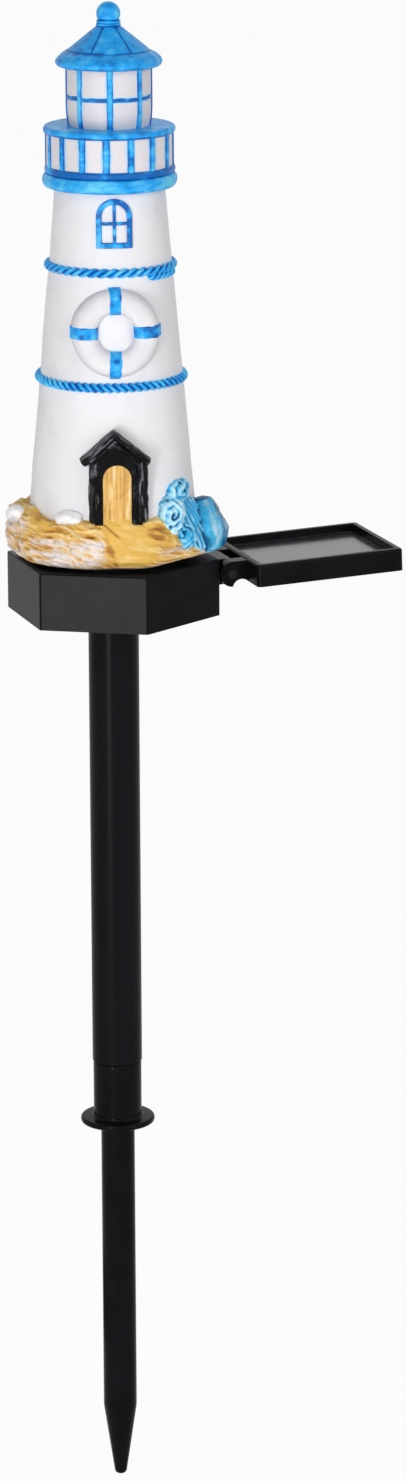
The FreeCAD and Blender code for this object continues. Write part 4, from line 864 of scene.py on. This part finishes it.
# Ropes: two three-strand ropes cast round the tower and painted blue, dark between the strands and
# pale on their crowns, partly as a wash and dry brush and partly as painted shade and highlight.
# The lower one is an even ring; the upper one overlaps itself at the right.
LOWER_ROPE_D = 3.2
LOWER_ROPE_TURNS = -20
UPPER_ROPE_D = 3.1
UPPER_ROPE_TURNS = 13
ROPE_TAIL_DROP = 1.6
ROPE_TAIL_TURNS = 2.2
ROPE_TAIL_START = -58
ROPE_TAIL_SWEEP = 44


def rope(z, thick, turns, start=0.0, sweep=360.0):
    """Rope round the tower. Each strand's outline is a circle through the rope's middle, so the
    section's radius is the rope's times the cosine of the angle from a strand's crown; the section
    turns as it is carried along. A rope that doesn't go all the way round has rounded ends."""
    whole = sweep == 360
    along = np.linspace(0, 1, 420, endpoint=not whole)[:, None]
    around = circle(42)
    crown = np.cos((around % (2 * np.pi / 3)) - np.pi / 3)
    blunt = 1 if whole else np.sqrt(1 - np.abs(2 * along - 1) ** 14)
    radius = thick / 2 * crown * blunt
    turn = around + 2 * np.pi * turns * along
    angle = np.radians(start + sweep * along)
    points = polar(tower_radius(z) + radius * np.cos(turn), angle, z + radius * np.sin(turn))
    worn = rough(points, 6, 61)
    # Dark between the strands and pale on their crowns: partly wash and dry brush, partly painted shade
    # and highlight.
    return points, whole, True, {"crevice_and_shade": 3.0 - 3.5 * crown + 0.7 * worn}


# Azure paint: a strong sky blue, uneven from the brush, deep in the crevices and cyan on the edges,
# partly as painted shade and highlight.
azure_paint = painted(
    "Azure painted resin", "#1fa1ee", "#0a62b2", "#62cbf0", 1.6, 0.4, 0.3, 1.8, 0.2, (0.5, 0.5, 1.2)
)
lower_low, lower_high = span("lower_rope")
lower_rope = rope((lower_low[2] + lower_high[2]) / 2, LOWER_ROPE_D, LOWER_ROPE_TURNS)
cast("lower_rope_strands", azure_paint, "blue_resin", "lower_rope", [lower_rope])
upper_rope_z = span("upper_rope")[1][2] - UPPER_ROPE_D / 2
tail_z = upper_rope_z - ROPE_TAIL_DROP
upper_rope = rope(upper_rope_z, UPPER_ROPE_D, UPPER_ROPE_TURNS)
rope_tail = rope(tail_z, UPPER_ROPE_D, ROPE_TAIL_TURNS, ROPE_TAIL_START, ROPE_TAIL_SWEEP)
cast("upper_rope_strands", azure_paint, "blue_resin", "upper_rope", [upper_rope, rope_tail])


# Life ring: a ring cast in relief on the tower and painted with it, and four cloth bands round it,
# picked out in blue by hand with uneven edges.
RING_HOLE_R = 6.0
RING_RELIEF = 3.3
RING_RIM_SET_IN = 4.0
RING_HOLE_SET_IN = 1.5
BAND_ANGLES = (2, 91, 179, 268)
BAND_WIDTH = 3.8
BAND_T = 0.35
BAND_SET_IN = 1.2
WALL_BEND = 0.6
ring_low, ring_high = span("life_ring")
ring_z = (ring_low[2] + ring_high[2]) / 2
ring_r = (ring_high[2] - ring_low[2]) / 2
ring_half = (ring_r - RING_HOLE_R) / 2
ring_middle = (ring_r + RING_HOLE_R) / 2


def on_wall(x, z, out, bend=1.0):
    """Point in front of the tower's wall: x across, z up, and out from the cone. A bend under 1
    follows the wall's curve only in part."""
    reach = tower_radius(z) + out
    return at(x, -np.sqrt(reach**2 - (bend * x) ** 2), z)


def ring_height(rho):
    """Height of the ring's rounded back over the wall, at a distance from its middle."""
    share = np.clip(np.abs(rho - ring_middle) / ring_half, 0, 1)
    return RING_RELIEF * (1 - share**2.4) ** 0.55


turn = circle(160)[:, None]
over = np.linspace(0, np.pi, 33)
rho = ring_middle - ring_half * np.cos(over)
out = np.append(ring_height(rho), [-RING_RIM_SET_IN, -RING_HOLE_SET_IN])
rho = np.append(rho, [ring_r, RING_HOLE_R])
ring = on_wall(rho * np.cos(turn), ring_z + rho * np.sin(turn), out, WALL_BEND)
# Painted shade: the ring darkens towards its inner and outer edges, where it meets the wall.
ring_edge_shade = np.append(np.abs(np.cos(over)) ** 6, [1, 1]) + 0 * turn
cast(
    "life_ring_relief", white_paint, "white_resin", "life_ring",
    [(ring, True, True, {"crevice_and_shade": 0.25 + 0.4 * ring_edge_shade})],
)


def band(degrees, seed):
    """Painted band over the ring: a strip along a radius with ragged sides, standing a little
    proud of the ring's back and turned down at its rim. Returns its face and its back."""
    s = np.linspace(RING_HOLE_R - BAND_T, ring_r + BAND_T, 46)[:, None]
    side = np.linspace(-1, 1, 21)
    t = side * BAND_WIDTH / 2
    t = t * (0.97 + 0.13 * rough(at(s, 9 * np.sign(t), seed), 1.4, seed))
    a = math.radians(degrees)
    u = s * math.cos(a) - t * math.sin(a)
    v = s * math.sin(a) + t * math.cos(a)
    high = ring_height(np.hypot(u, v)) + BAND_T * (1 - side**8)
    u, v = np.pad(u, 1, "edge"), np.pad(v, 1, "edge") + ring_z
    worn = 0.15 + 0.9 * rough(on_wall(u, v, 0), 1.8, seed + 3)
    face = on_wall(u, v, np.pad(high, 1, constant_values=-BAND_SET_IN), WALL_BEND)
    back = on_wall(u, v, -BAND_SET_IN, WALL_BEND)
    return [(face, False, False, {"crevice_and_shade": worn}), (back, False, False, {})]


bands = [patch for number, degrees in enumerate(BAND_ANGLES) for patch in band(degrees, 70 + number)]
cast("life_ring_paint_bands", azure_paint, "blue_resin", "life_ring_bands", bands)


# Window: an arched frame with a cross of glazing bars, cast in low relief on the tower and painted
# blue. Its panes are the tower's white wall.
WINDOW_HALF = 5.65
WINDOW_FRAME = 1.7
WINDOW_BAR = 1.0
WINDOW_BAR_LAP = 1.0
WINDOW_RELIEF = 0.8
window_low, window_high = span("window_frame")
sill, window_top = window_low[2], window_high[2]
cross_z = (sill + window_top) / 2


def raised(start, end, relief, closed):
    """Bar or frame between two lines of (x, z) points: a rounded section from one to the other,
    standing out from the wall, with its back in the wall."""
    share = np.array([0, 0, 0.12, 0.5, 0.88, 1, 1])
    out = relief * np.array([-1, 0.6, 1, 1.05, 1, 0.6, -1])
    across = start[:, None] + (end - start)[:, None] * share[:, None]
    x, z = across[..., 0], across[..., 1]
    worn = rough(at(x, 0, z), 1.3, 75)
    # Painted shade: the frame and bars are darker on their right part and along their edges, over random
    # wear.
    crevice_and_shade = 0.2 + 0.8 * worn + 0.35 * (x > 2.5) + 0.4 * (np.abs(share - 0.5) > 0.4)
    return on_wall(x, z, out + 0.06 * worn), closed, True, {"crevice_and_shade": crevice_and_shade}


def bar(start, end, width):
    """Two edges of a straight bar with blunt ends, as lines of (x, z) points."""
    start, end = np.array(start), np.array(end)
    line = start + (end - start) * np.linspace(0, 1, 30)[:, None]
    normal = np.array([start[1] - end[1], end[0] - start[0]]) / np.linalg.norm(end - start)
    return line - normal * width / 2, line + normal * width / 2


frame_outside = arch(WINDOW_HALF, sill, window_top)
frame_inside = arch(WINDOW_HALF - WINDOW_FRAME, sill + WINDOW_FRAME, window_top - WINDOW_FRAME)
upright = bar((0, sill + WINDOW_BAR_LAP), (0, window_top - WINDOW_BAR_LAP), WINDOW_BAR)
bar_end = WINDOW_HALF - WINDOW_BAR_LAP
crossbar = bar((-bar_end, cross_z), (bar_end, cross_z), WINDOW_BAR)
cast(
    "arched_window", azure_paint, "blue_resin", "window_frame",
    [
        raised(frame_outside, frame_inside, WINDOW_RELIEF, True),
        raised(*upright, 0.8 * WINDOW_RELIEF, False),
        raised(*crossbar, 0.75 * WINDOW_RELIEF, False),
    ],
)


# Gallery: a moulded deck ring on the tower's top, a white drum, and a railing whose posts stand
# round the drum and whose floor lies on it. Cast in resin; the deck and railing are painted blue.
DECK_R = 21.1
DECK_BEAD = 1.5
DECK_LIP_INSET = 0.6
DECK_LIP_BEAD = 0.7
LIGHT_HOLE_R = 9.0
DECK_SPIGOT_R = 14.1
RAIL_POSTS = 16
RAIL_POST_WIDTH = 2.1
RAIL_POST_RELIEF = 0.45
RAIL_TURN = -7.0
RAIL_FLOOR_INSET = 0.6
RAIL_BEAD_INSET = 0.4
RAIL_TOP_INSET = 1.2
RAIL_POST_FOOT_LAP = 0.2
RAIL_POST_HEAD_LAP = 0.3
RAIL_WEAR = 0.1
DECK_WEAR = 0.12
DRUM_WALL = 2.5
DRUM_BLEED = 0.8
deck_low, deck_high = span("gallery_deck")
drum_high = span("gallery_drum")[1]
rail_high = span("gallery_railing")[1]
deck_top, drum_top, rail_top = deck_high[2], drum_high[2], rail_high[2]
drum_r, rail_r = drum_high[0], rail_high[0]


def bead(inner, outer, bottom, top):
    """Half-round bead as (r, z) points: out from the inner radius to the outer and back."""
    t = np.linspace(0, np.pi, 15)
    z = (bottom + top - (top - bottom) * np.cos(t)) / 2
    return np.stack([inner + (outer - inner) * np.sin(t), z], axis=-1)


deck_height = deck_top - tower_top
lip_r = DECK_R - DECK_LIP_INSET
bead_top = tower_top + deck_height * 2 / 3
deck_outline = np.vstack(
    [
        [(LIGHT_HOLE_R, deck_low[2]), (DECK_SPIGOT_R, deck_low[2]), (DECK_SPIGOT_R, tower_top)],
        bead(DECK_R - DECK_BEAD, DECK_R, tower_top, bead_top),
        bead(lip_r - DECK_LIP_BEAD, lip_r, bead_top, deck_top),
        [(LIGHT_HOLE_R, deck_top)],
    ]
)
deck = lathe(deck_outline, 240)
deck_wear = rough(deck, 3.5, 81)
deck[..., :2] *= 1 + (DECK_WEAR * deck_wear / DECK_R)[..., None]
height = deck[..., 2] - tower_top
dark_lip = step(height, 0.58 * deck_height, 0.7 * deck_height)
# Painted shade: the deck darkens at its foot under the bead. The upper lip is painted dark blue and the
# rest paler.
deck_crevice_and_shade = 1.05 * dark_lip + 0.5 * step(height, 0.9, 0.0) - 0.4 + 0.5 * deck_wear
cast(
    "gallery_deck_ring", azure_paint, "blue_resin", "gallery_deck",
    [(deck, True, True, {"crevice_and_shade": deck_crevice_and_shade})],
)


def spread(count, turn):
    """A count of angles, spaced evenly round the axis, the first at some degrees from the front."""
    return np.radians(-90 + turn + 360 / count * np.arange(count))


def apart(points, angles):
    """Angle of each point from the nearest of some angles that are spaced evenly."""
    pitch = 2 * np.pi / len(angles)
    angle = np.arctan2(points[..., 1], points[..., 0])
    return np.abs((angle - angles[0] + pitch / 2) % pitch - pitch / 2)


drum_outline = [
    (drum_r - DRUM_WALL, deck_top),
    *[(drum_r, z) for z in np.linspace(deck_top, drum_top, 24)],
    (drum_r - DRUM_WALL, drum_top),
]
drum = lathe(drum_outline, 320)
post_angles = spread(RAIL_POSTS, RAIL_TURN)
bleed = bell(apart(drum, post_angles) * drum_r, RAIL_POST_WIDTH / 2, DRUM_BLEED)
# White paint of the panes: faintly pink, with blue that ran out from the bars' edges.
pane_paint = painted(
    "White painted resin, blue at its edges", "#dcd7da", "#a6d6f4", "#e6e1e4", 4, 0.5, 0.2
)
cast(
    "gallery_drum_wall", pane_paint, "white_resin", "gallery_drum",
    [(drum, True, True, {"crevice_and_shade": 0.7 * bleed - 0.1})],
)


def upright_bar(angle, radius, width, relief, bottom, top, seed):
    """Painted bar up a round wall: at each height an arc of the bar's width, standing out by the
    relief and turned in at both sides. Its edges waver, as a brush leaves them."""
    z = np.linspace(bottom, top, 40)[:, None]
    side = np.array([-1, -1, -0.8, -0.3, 0.3, 0.8, 1, 1])
    out = relief * np.array([-1.0, 0.5, 0.95, 1, 1, 0.95, 0.5, -1.0])
    waver = 1 + 0.16 * rough(at(3 * np.sign(side), seed, z), 2.2, 82)
    reach = radius(z) + out
    points = polar(reach, angle + side * width / 2 * waver / reach, z)
    # Painted shade at the bar's sides, where it turns in to the wall, and a painted highlight down its
    # paler middle.
    edge = np.interp(np.abs(side), [0.3, 0.8, 1], [-0.25, 0.3, 0.9])
    return points, False, True, {"crevice_and_shade": edge + 0.75 * rough(points, 2.4, 83) + 0.05}


rim_inner = drum_r + RAIL_POST_RELIEF
rail_outline = np.vstack(
    [
        [(LIGHT_HOLE_R, drum_top), (rim_inner - RAIL_FLOOR_INSET, drum_top)],
        bead(rim_inner - RAIL_BEAD_INSET, rail_r, drum_top, rail_top),
        [(rim_inner - RAIL_TOP_INSET, rail_top), (LIGHT_HOLE_R, rail_top)],
    ]
)
rail = lathe(rail_outline, 240)
rail_wear = rough(rail, 3, 84)
rail[..., :2] *= 1 + (RAIL_WEAR * rail_wear / rail_r)[..., None]
# Painted shade: the rail's bead darkens on its underside.
under = step(rail[..., 2], drum_top + 0.45 * (rail_top - drum_top), drum_top + 0.1)
posts = [
    upright_bar(angle, lambda z: drum_r + 0 * z, RAIL_POST_WIDTH, RAIL_POST_RELIEF,
                deck_top - RAIL_POST_FOOT_LAP, drum_top + RAIL_POST_HEAD_LAP, 5 * number)
    for number, angle in enumerate(post_angles)
]
cast(
    "gallery_rail_and_posts", azure_paint, "blue_resin", "gallery_railing",
    [(rail, True, True, {"crevice_and_shade": under - 0.15 + 0.5 * rail_wear})] + posts,
)


# Lantern: a white barrel that glows when lit, with a cage of eight bars and a middle ring in relief
# over it, painted blue. It stands on the gallery's floor.
LANTERN_FOOT_R = 12.5
LANTERN_WALL = 1.8
LANTERN_BARS = 8
LANTERN_BAR_WIDTH = 1.8
LANTERN_RING_HEIGHT = 1.3
LANTERN_RELIEF = 0.45
LANTERN_TURN = -3.0
LANTERN_BAR_BLEED = 0.5
LANTERN_RING_BLEED = 0.4
lantern_low, lantern_high = span("lantern_glass")
lantern_foot, lantern_top = lantern_low[2], lantern_high[2]
lantern_r = lantern_high[0]


def lantern_radius(z):
    """Radius of the barrel: it widens from its foot to a straight wall a third of the way up."""
    share = np.clip((z - lantern_foot) / (lantern_top - lantern_foot) * 3, 0, 1)
    return lantern_r - (lantern_r - LANTERN_FOOT_R) * (1 - share) ** 2


heights = np.linspace(lantern_foot, lantern_top, 40)
outside = np.stack([lantern_radius(heights), heights], axis=-1)
barrel = lathe(np.vstack([outside, outside[::-1] - [LANTERN_WALL, 0]]), 240)
bar_angles = spread(LANTERN_BARS, LANTERN_TURN)
ring_middle_z = (lantern_foot + lantern_top) / 2
to_ring = np.abs(barrel[..., 2] - ring_middle_z)
bleed = bell(apart(barrel, bar_angles) * lantern_r, LANTERN_BAR_WIDTH / 2, LANTERN_BAR_BLEED)
bleed = np.maximum(bleed, bell(to_ring, LANTERN_RING_HEIGHT / 2, LANTERN_RING_BLEED))
cast(
    "lantern_panes", pane_paint, "lantern_white", "lantern_glass",
    [(barrel, True, True, {"crevice_and_shade": 0.7 * bleed - 0.1})],
)

section = circle(16)
hoop_angle = circle(240)[:, None]
hoop_waver = rough(polar(20, hoop_angle, 0), 4, 85)
hoop_half = LANTERN_RING_HEIGHT / 2 * (1 + 0.15 * hoop_waver)
hoop_z = ring_middle_z + 0.25 * hoop_waver + hoop_half * np.sin(section)
hoop = polar(lantern_r + 0.75 * LANTERN_RELIEF * np.cos(section), hoop_angle, hoop_z)
cage = [
    upright_bar(angle, lantern_radius, LANTERN_BAR_WIDTH, LANTERN_RELIEF,
                lantern_foot, lantern_top, 7 * number)
    for number, angle in enumerate(bar_angles)
]
cast(
    "lantern_cage", azure_paint, "blue_resin", "lantern_frame",
    cage + [(hoop, True, True, {"crevice_and_shade": 0.6 + 0.9 * rough(hoop, 2.6, 86)})],
)


# Roof: a round roof with a thick rolled eave, a ring groove and six seams cut up its cone, cast in
# resin and painted blue. A ball finial on a two-bead collar is pegged into its top.
ROOF_ROLL = 1.55
ROOF_BRIM = 0.5
ROOF_TOP_INSET = 1.0
ROOF_LIP = 0.4
ROOF_EDGE = 2.2
ROOF_GROOVE_R = 12.8
ROOF_GROOVE_HALF = 0.3
ROOF_EAVE_HEIGHT = 5.2
ROOF_LUMPS_UP = 0.14
ROOF_LUMPS_OUT = 0.22
ROOF_SEAMS = 6
ROOF_SEAM_TURN = -30
SEAM_DEPTH = 0.4
SEAM_HALF = 0.32
COLLAR_TOP_R = 3.9
COLLAR_BEAD = 1.0
PEG_R = 3.2
PEG_LENGTH = 2.0
BALL_R = 3.75
roof_high = span("roof")[1]
roof_top, eave_r = roof_high[2], roof_high[0]
groove_z = lantern_top + ROOF_EAVE_HEIGHT
eave = eased(
    [
        (lantern_r - LANTERN_WALL, lantern_top + ROOF_LIP),
        (lantern_r - LANTERN_WALL, lantern_top),
        (eave_r - ROOF_BRIM, lantern_top),
        (eave_r + ROOF_BRIM, lantern_top + ROOF_ROLL),
        (eave_r - ROOF_TOP_INSET, lantern_top + 2.3 * ROOF_ROLL),
        (ROOF_GROOVE_R + ROOF_GROOVE_HALF, groove_z - 0.1),
    ],
    ROOF_EDGE,
)
slope = np.linspace((ROOF_GROOVE_R, groove_z), (COLLAR_TOP_R, roof_top), 40)
roof = lathe(np.vstack([eave, slope, [(0, roof_top)]]), 480)
roof_reach = np.hypot(roof[..., 0], roof[..., 1])
on_cone = step(roof[..., 2], groove_z - 0.2, groove_z + 0.2)
seam = bell(apart(roof, spread(ROOF_SEAMS, ROOF_SEAM_TURN)) * roof_reach, 0, SEAM_HALF) * on_cone
groove = bell(roof_reach, ROOF_GROOVE_R, ROOF_GROOVE_HALF) * (roof[..., 2] > lantern_top + 3)
cut = np.maximum(seam, groove)
lumps = rough(roof, 3.2, 87) + 0.5 * rough(roof, 1.5, 88)
on_eave = lumps * (1 - on_cone)
roof[..., 2] += ROOF_LUMPS_UP * on_eave - SEAM_DEPTH * cut
roof[..., :2] *= 1 + (ROOF_LUMPS_OUT * on_eave / eave_r)[..., None]
# Painted shade: the roof darkens on the eave's underside.
eave_underside_shade = step(roof[..., 2], lantern_top + 1.0, lantern_top)
cast(
    "roof_cone", azure_paint, "blue_resin", "roof",
    [(roof, True, False, {"crevice_and_shade": 1.1 * cut + 0.55 * eave_underside_shade + 0.35 * lumps - 0.02})],
)

finial_high = span("finial")[1]
ball_z = finial_high[2] - BALL_R
collar_middle = roof_top + COLLAR_BEAD
collar_top = collar_middle + COLLAR_BEAD
ball_turn = np.linspace(-0.95, np.pi / 2, 30)
finial_outline = np.vstack(
    [
        [(0, roof_top - PEG_LENGTH), (PEG_R, roof_top - PEG_LENGTH), (PEG_R + 0.2, roof_top)],
        bead(PEG_R + 0.25, finial_high[0], roof_top, collar_middle),
        bead(PEG_R + 0.1, finial_high[0] - 0.1, collar_middle, collar_top),
        np.stack([BALL_R * np.cos(ball_turn), ball_z + BALL_R * np.sin(ball_turn)], axis=-1),
    ]
)
finial = lathe(finial_outline, 144)
finial_wear = rough(finial, 2.2, 89)
# Painted shade in the crease under the ball and where the finial meets the roof.
lines = bell(finial[..., 2], collar_top + 0.1, 0.3) + bell(finial[..., 2], roof_top, 0.4)
cast(
    "ball_finial", azure_paint, "blue_resin", "finial",
    [(finial, True, False, {"crevice_and_shade": 1.2 * lines + 0.55 * finial_wear - 0.1})],
)


# Solar panel: a black ABS tray on two hinge ears, a silicon cell in it, and a clear sheet over the
# cell. The tray tilts on a steel pin through the base's lug; the cell and sheet are glued in.
PANEL_TILT = math.radians(2)
SHEET_CORNER_R = 0.45
SHEET_T = 1.2
SHEET_EASE = 0.1
SHEET_LIFT = -0.05
CONTACT_PITCH = 2.5
dress(black_abs, "panel_tray")
# Blackened steel: a thin brown-black oxide over turned metal, low in shine.
blackened_steel = grained("Blackened steel", "#100f0f", "#1a1918", 0.3, 0.5, 0.2, {"Metallic": 0.6})
dress(blackened_steel, "hinge_pin")
# Silicon cell: blue-black and dull, with fine grey contact lines printed 2.5 mm apart. They are
# drawn 0.25 mm wide, about twice the usual width, so that they show.
silicon, tree, shader, place = begin("Silicon cell")
stripe_scale = 2 * math.pi * 1000 / (20 * CONTACT_PITCH)
stripes = add(
    tree, "TexWave", {"Vector": place, "Scale": stripe_scale, "Distortion": 0.0}, "Fac",
    wave_type="BANDS", bands_direction="Y",
)
contacts = add(tree, "MapRange", {"Value": stripes, "From Min": 0.975, "From Max": 0.99})
cloud = add(tree, "TexNoise", {"Vector": place, "Scale": 1000 / 12, "Detail": 3.0})
tint = linear("#15171d")
for share, colour in ((cloud, "#1f222a"), (contacts, "#4b4e56")):
    tint = add(tree, "Mix", {0: share, 6: tint, 7: linear(colour)}, 2, data_type="RGBA")
fill(shader, {"Base Color": tint, "Roughness": 0.5, "IOR": 1.5})
dress(silicon, "solar_cell")


def slab(half_length, half_width, corner, thick):
    """Level plate with rounded corners, its middle at the origin. The outline is a circle of the
    corner radius, pulled apart along both sides. It is carried from the middle of the underside,
    over the eased edge, to the middle of the top."""
    turn = circle(96)[:, None]
    spread_out = np.array([0, 1, 1, 1, 1, 0])
    reach = corner * spread_out - SHEET_EASE * np.array([0, 1, 0, 0, 1, 0])
    height = thick * np.array([-0.5, -0.5, -0.4, 0.4, 0.5, 0.5])
    x = spread_out * np.sign(np.cos(turn)) * (half_length - corner) + reach * np.cos(turn)
    y = spread_out * np.sign(np.sin(turn)) * (half_width - corner) + reach * np.sin(turn)
    return at(x, y, height)


sheet_low, sheet_high = span("panel_sheet")
c, s = math.cos(PANEL_TILT), math.sin(PANEL_TILT)
length, width, _ = sheet_high - sheet_low
sheet = slab((length - SHEET_T * s) / (2 * c), width / 2, SHEET_CORNER_R, SHEET_T - SHEET_LIFT)
sheet = (sheet + [0, 0, SHEET_LIFT / 2]) @ np.array([[c, 0, s], [0, 1, 0], [-s, 0, c]])
# Clear acrylic: colourless, with a faintly orange-peeled surface that blurs what it mirrors.
clear_acrylic = grained(
    "Clear acrylic sheet", "#f4f6f8", "#fbfcfd", 0.8, 0.16, 0.1,
    {"IOR": 1.49, "Transmission Weight": 1.0},
)
piece(
    "cell_cover_sheet", "panel", clear_acrylic, "clear_sheet", "panel_sheet",
    [(sheet + (sheet_low + sheet_high) / 2, True, False, {})],
)


# Studio: a pale floor under the stake's point, a white surround, soft lamps, and the camera at the
# photograph's place. The floor and the surround are white to the eye and in reflections only.
CAMERA_AZIMUTH = math.radians(-108.1)
CAMERA_DISTANCE = 1.568
CAMERA_HEIGHT = 0.549
CAMERA_HEADING = math.radians(70.86)
CAMERA_PITCH = math.radians(-15.0)
CAMERA_ROLL = math.radians(-0.23)
CAMERA_LENS = 122.54
CAMERA_SENSOR = 36
FLOOR_HALF = 14.0
FLOOR_GLOW = 0.94
AMBIENT = 0.36


def seen(tree):
    """1 for rays that the eye follows: straight, mirrored, or through glass."""
    rays = add(tree, "LightPath", {}).node.outputs
    share = rays["Is Camera Ray"]
    for kind in ("Is Glossy Ray", "Is Transmission Ray"):
        share = add(tree, "Math", {0: share, 1: rays[kind]}, operation="MAXIMUM")
    return share


floor_z = cad_box[0][2]
floor_mesh = bpy.data.meshes.new("studio_floor")
corners = [(x * FLOOR_HALF, y * FLOOR_HALF, floor_z) for x, y in ((-1, -1), (1, -1), (1, 1), (-1, 1))]
floor_mesh.from_pydata(corners, [], [(0, 1, 2, 3)])
put("studio_floor", floor_mesh)
# Studio paper: matt white with faint fibres. To the eye it glows nearly white, and keeps a shadow.
paper, tree, shader, place = begin("White studio paper")
fibres = add(tree, "TexNoise", {"Vector": place, "Scale": 1000 / 40, "Detail": 4.0})
tint = add(tree, "Mix", {0: fibres, 6: linear("#f2f2f2"), 7: linear("#f8f8f8")}, 2, data_type="RGBA")
matt = add(tree, "BsdfDiffuse", {"Color": tint})
white = add(tree, "Emission", {"Color": linear("#ffffff"), "Strength": 1.0})
share = add(tree, "Math", {0: seen(tree), 1: FLOOR_GLOW}, operation="MULTIPLY")
both = add(tree, "MixShader", {0: share, 1: matt, 2: white})
fill(tree.nodes["Material Output"], {"Surface": both})
floor_mesh.materials.append(paper)

world = bpy.data.worlds.new("White surround")
world.use_nodes = True
bpy.context.scene.world = world
tree = world.node_tree
strength = add(tree, "MapRange", {"Value": seen(tree), "To Min": AMBIENT, "To Max": 1.0})
fill(tree.nodes["Background"], {"Color": linear("#ffffff"), "Strength": strength})


def lamp(name, azimuth, elevation, distance, aim, size, power):
    """Soft box: a rectangular lamp at an azimuth and elevation from a height on the object's axis,
    facing it. It lights and shows in gloss, but the camera doesn't see it."""
    light = bpy.data.lights.new(name, "AREA")
    light.shape = "RECTANGLE"
    light.size, light.size_y = size
    light.energy = power
    made = put(name, light)
    a, e = math.radians(azimuth), math.radians(elevation)
    back = Vector((math.cos(a) * math.cos(e), math.sin(a) * math.cos(e), math.sin(e)))
    spot = Vector((0, 0, aim)) + back * distance
    made.matrix_world = Matrix.LocRotScale(spot, back.to_track_quat("Z", "Y"), None)
    made.visible_camera = False


lamp("key_softbox", -122, 26, 2.0, 0.2, (1.2, 1.2), 5)
lamp("fill_softbox", -60, 20, 2.2, 0.2, (1.2, 1.2), 14)
lamp("strip_softbox", -132, 0, 0.9, 0.1, (0.14, 0.45), 3.6)
lamp("back_softbox", 70, 40, 2.2, 0.2, (1.4, 1.4), 2.5)

camera_data = bpy.data.cameras.new("camera")
camera_data.lens = CAMERA_LENS
camera_data.sensor_width = CAMERA_SENSOR
camera = put("camera", camera_data)
bpy.context.scene.camera = camera
across = CAMERA_DISTANCE * math.cos(CAMERA_AZIMUTH)
away = CAMERA_DISTANCE * math.sin(CAMERA_AZIMUTH)
camera.matrix_world = (
    Matrix.Translation((across, away, CAMERA_HEIGHT))
    @ Matrix.Rotation(CAMERA_HEADING - math.pi / 2, 4, "Z")
    @ Matrix.Rotation(CAMERA_PITCH + math.pi / 2, 4, "X")
    @ Matrix.Rotation(CAMERA_ROLL, 4, "Z")
)
bpy.context.scene.view_settings.view_transform = "Standard"
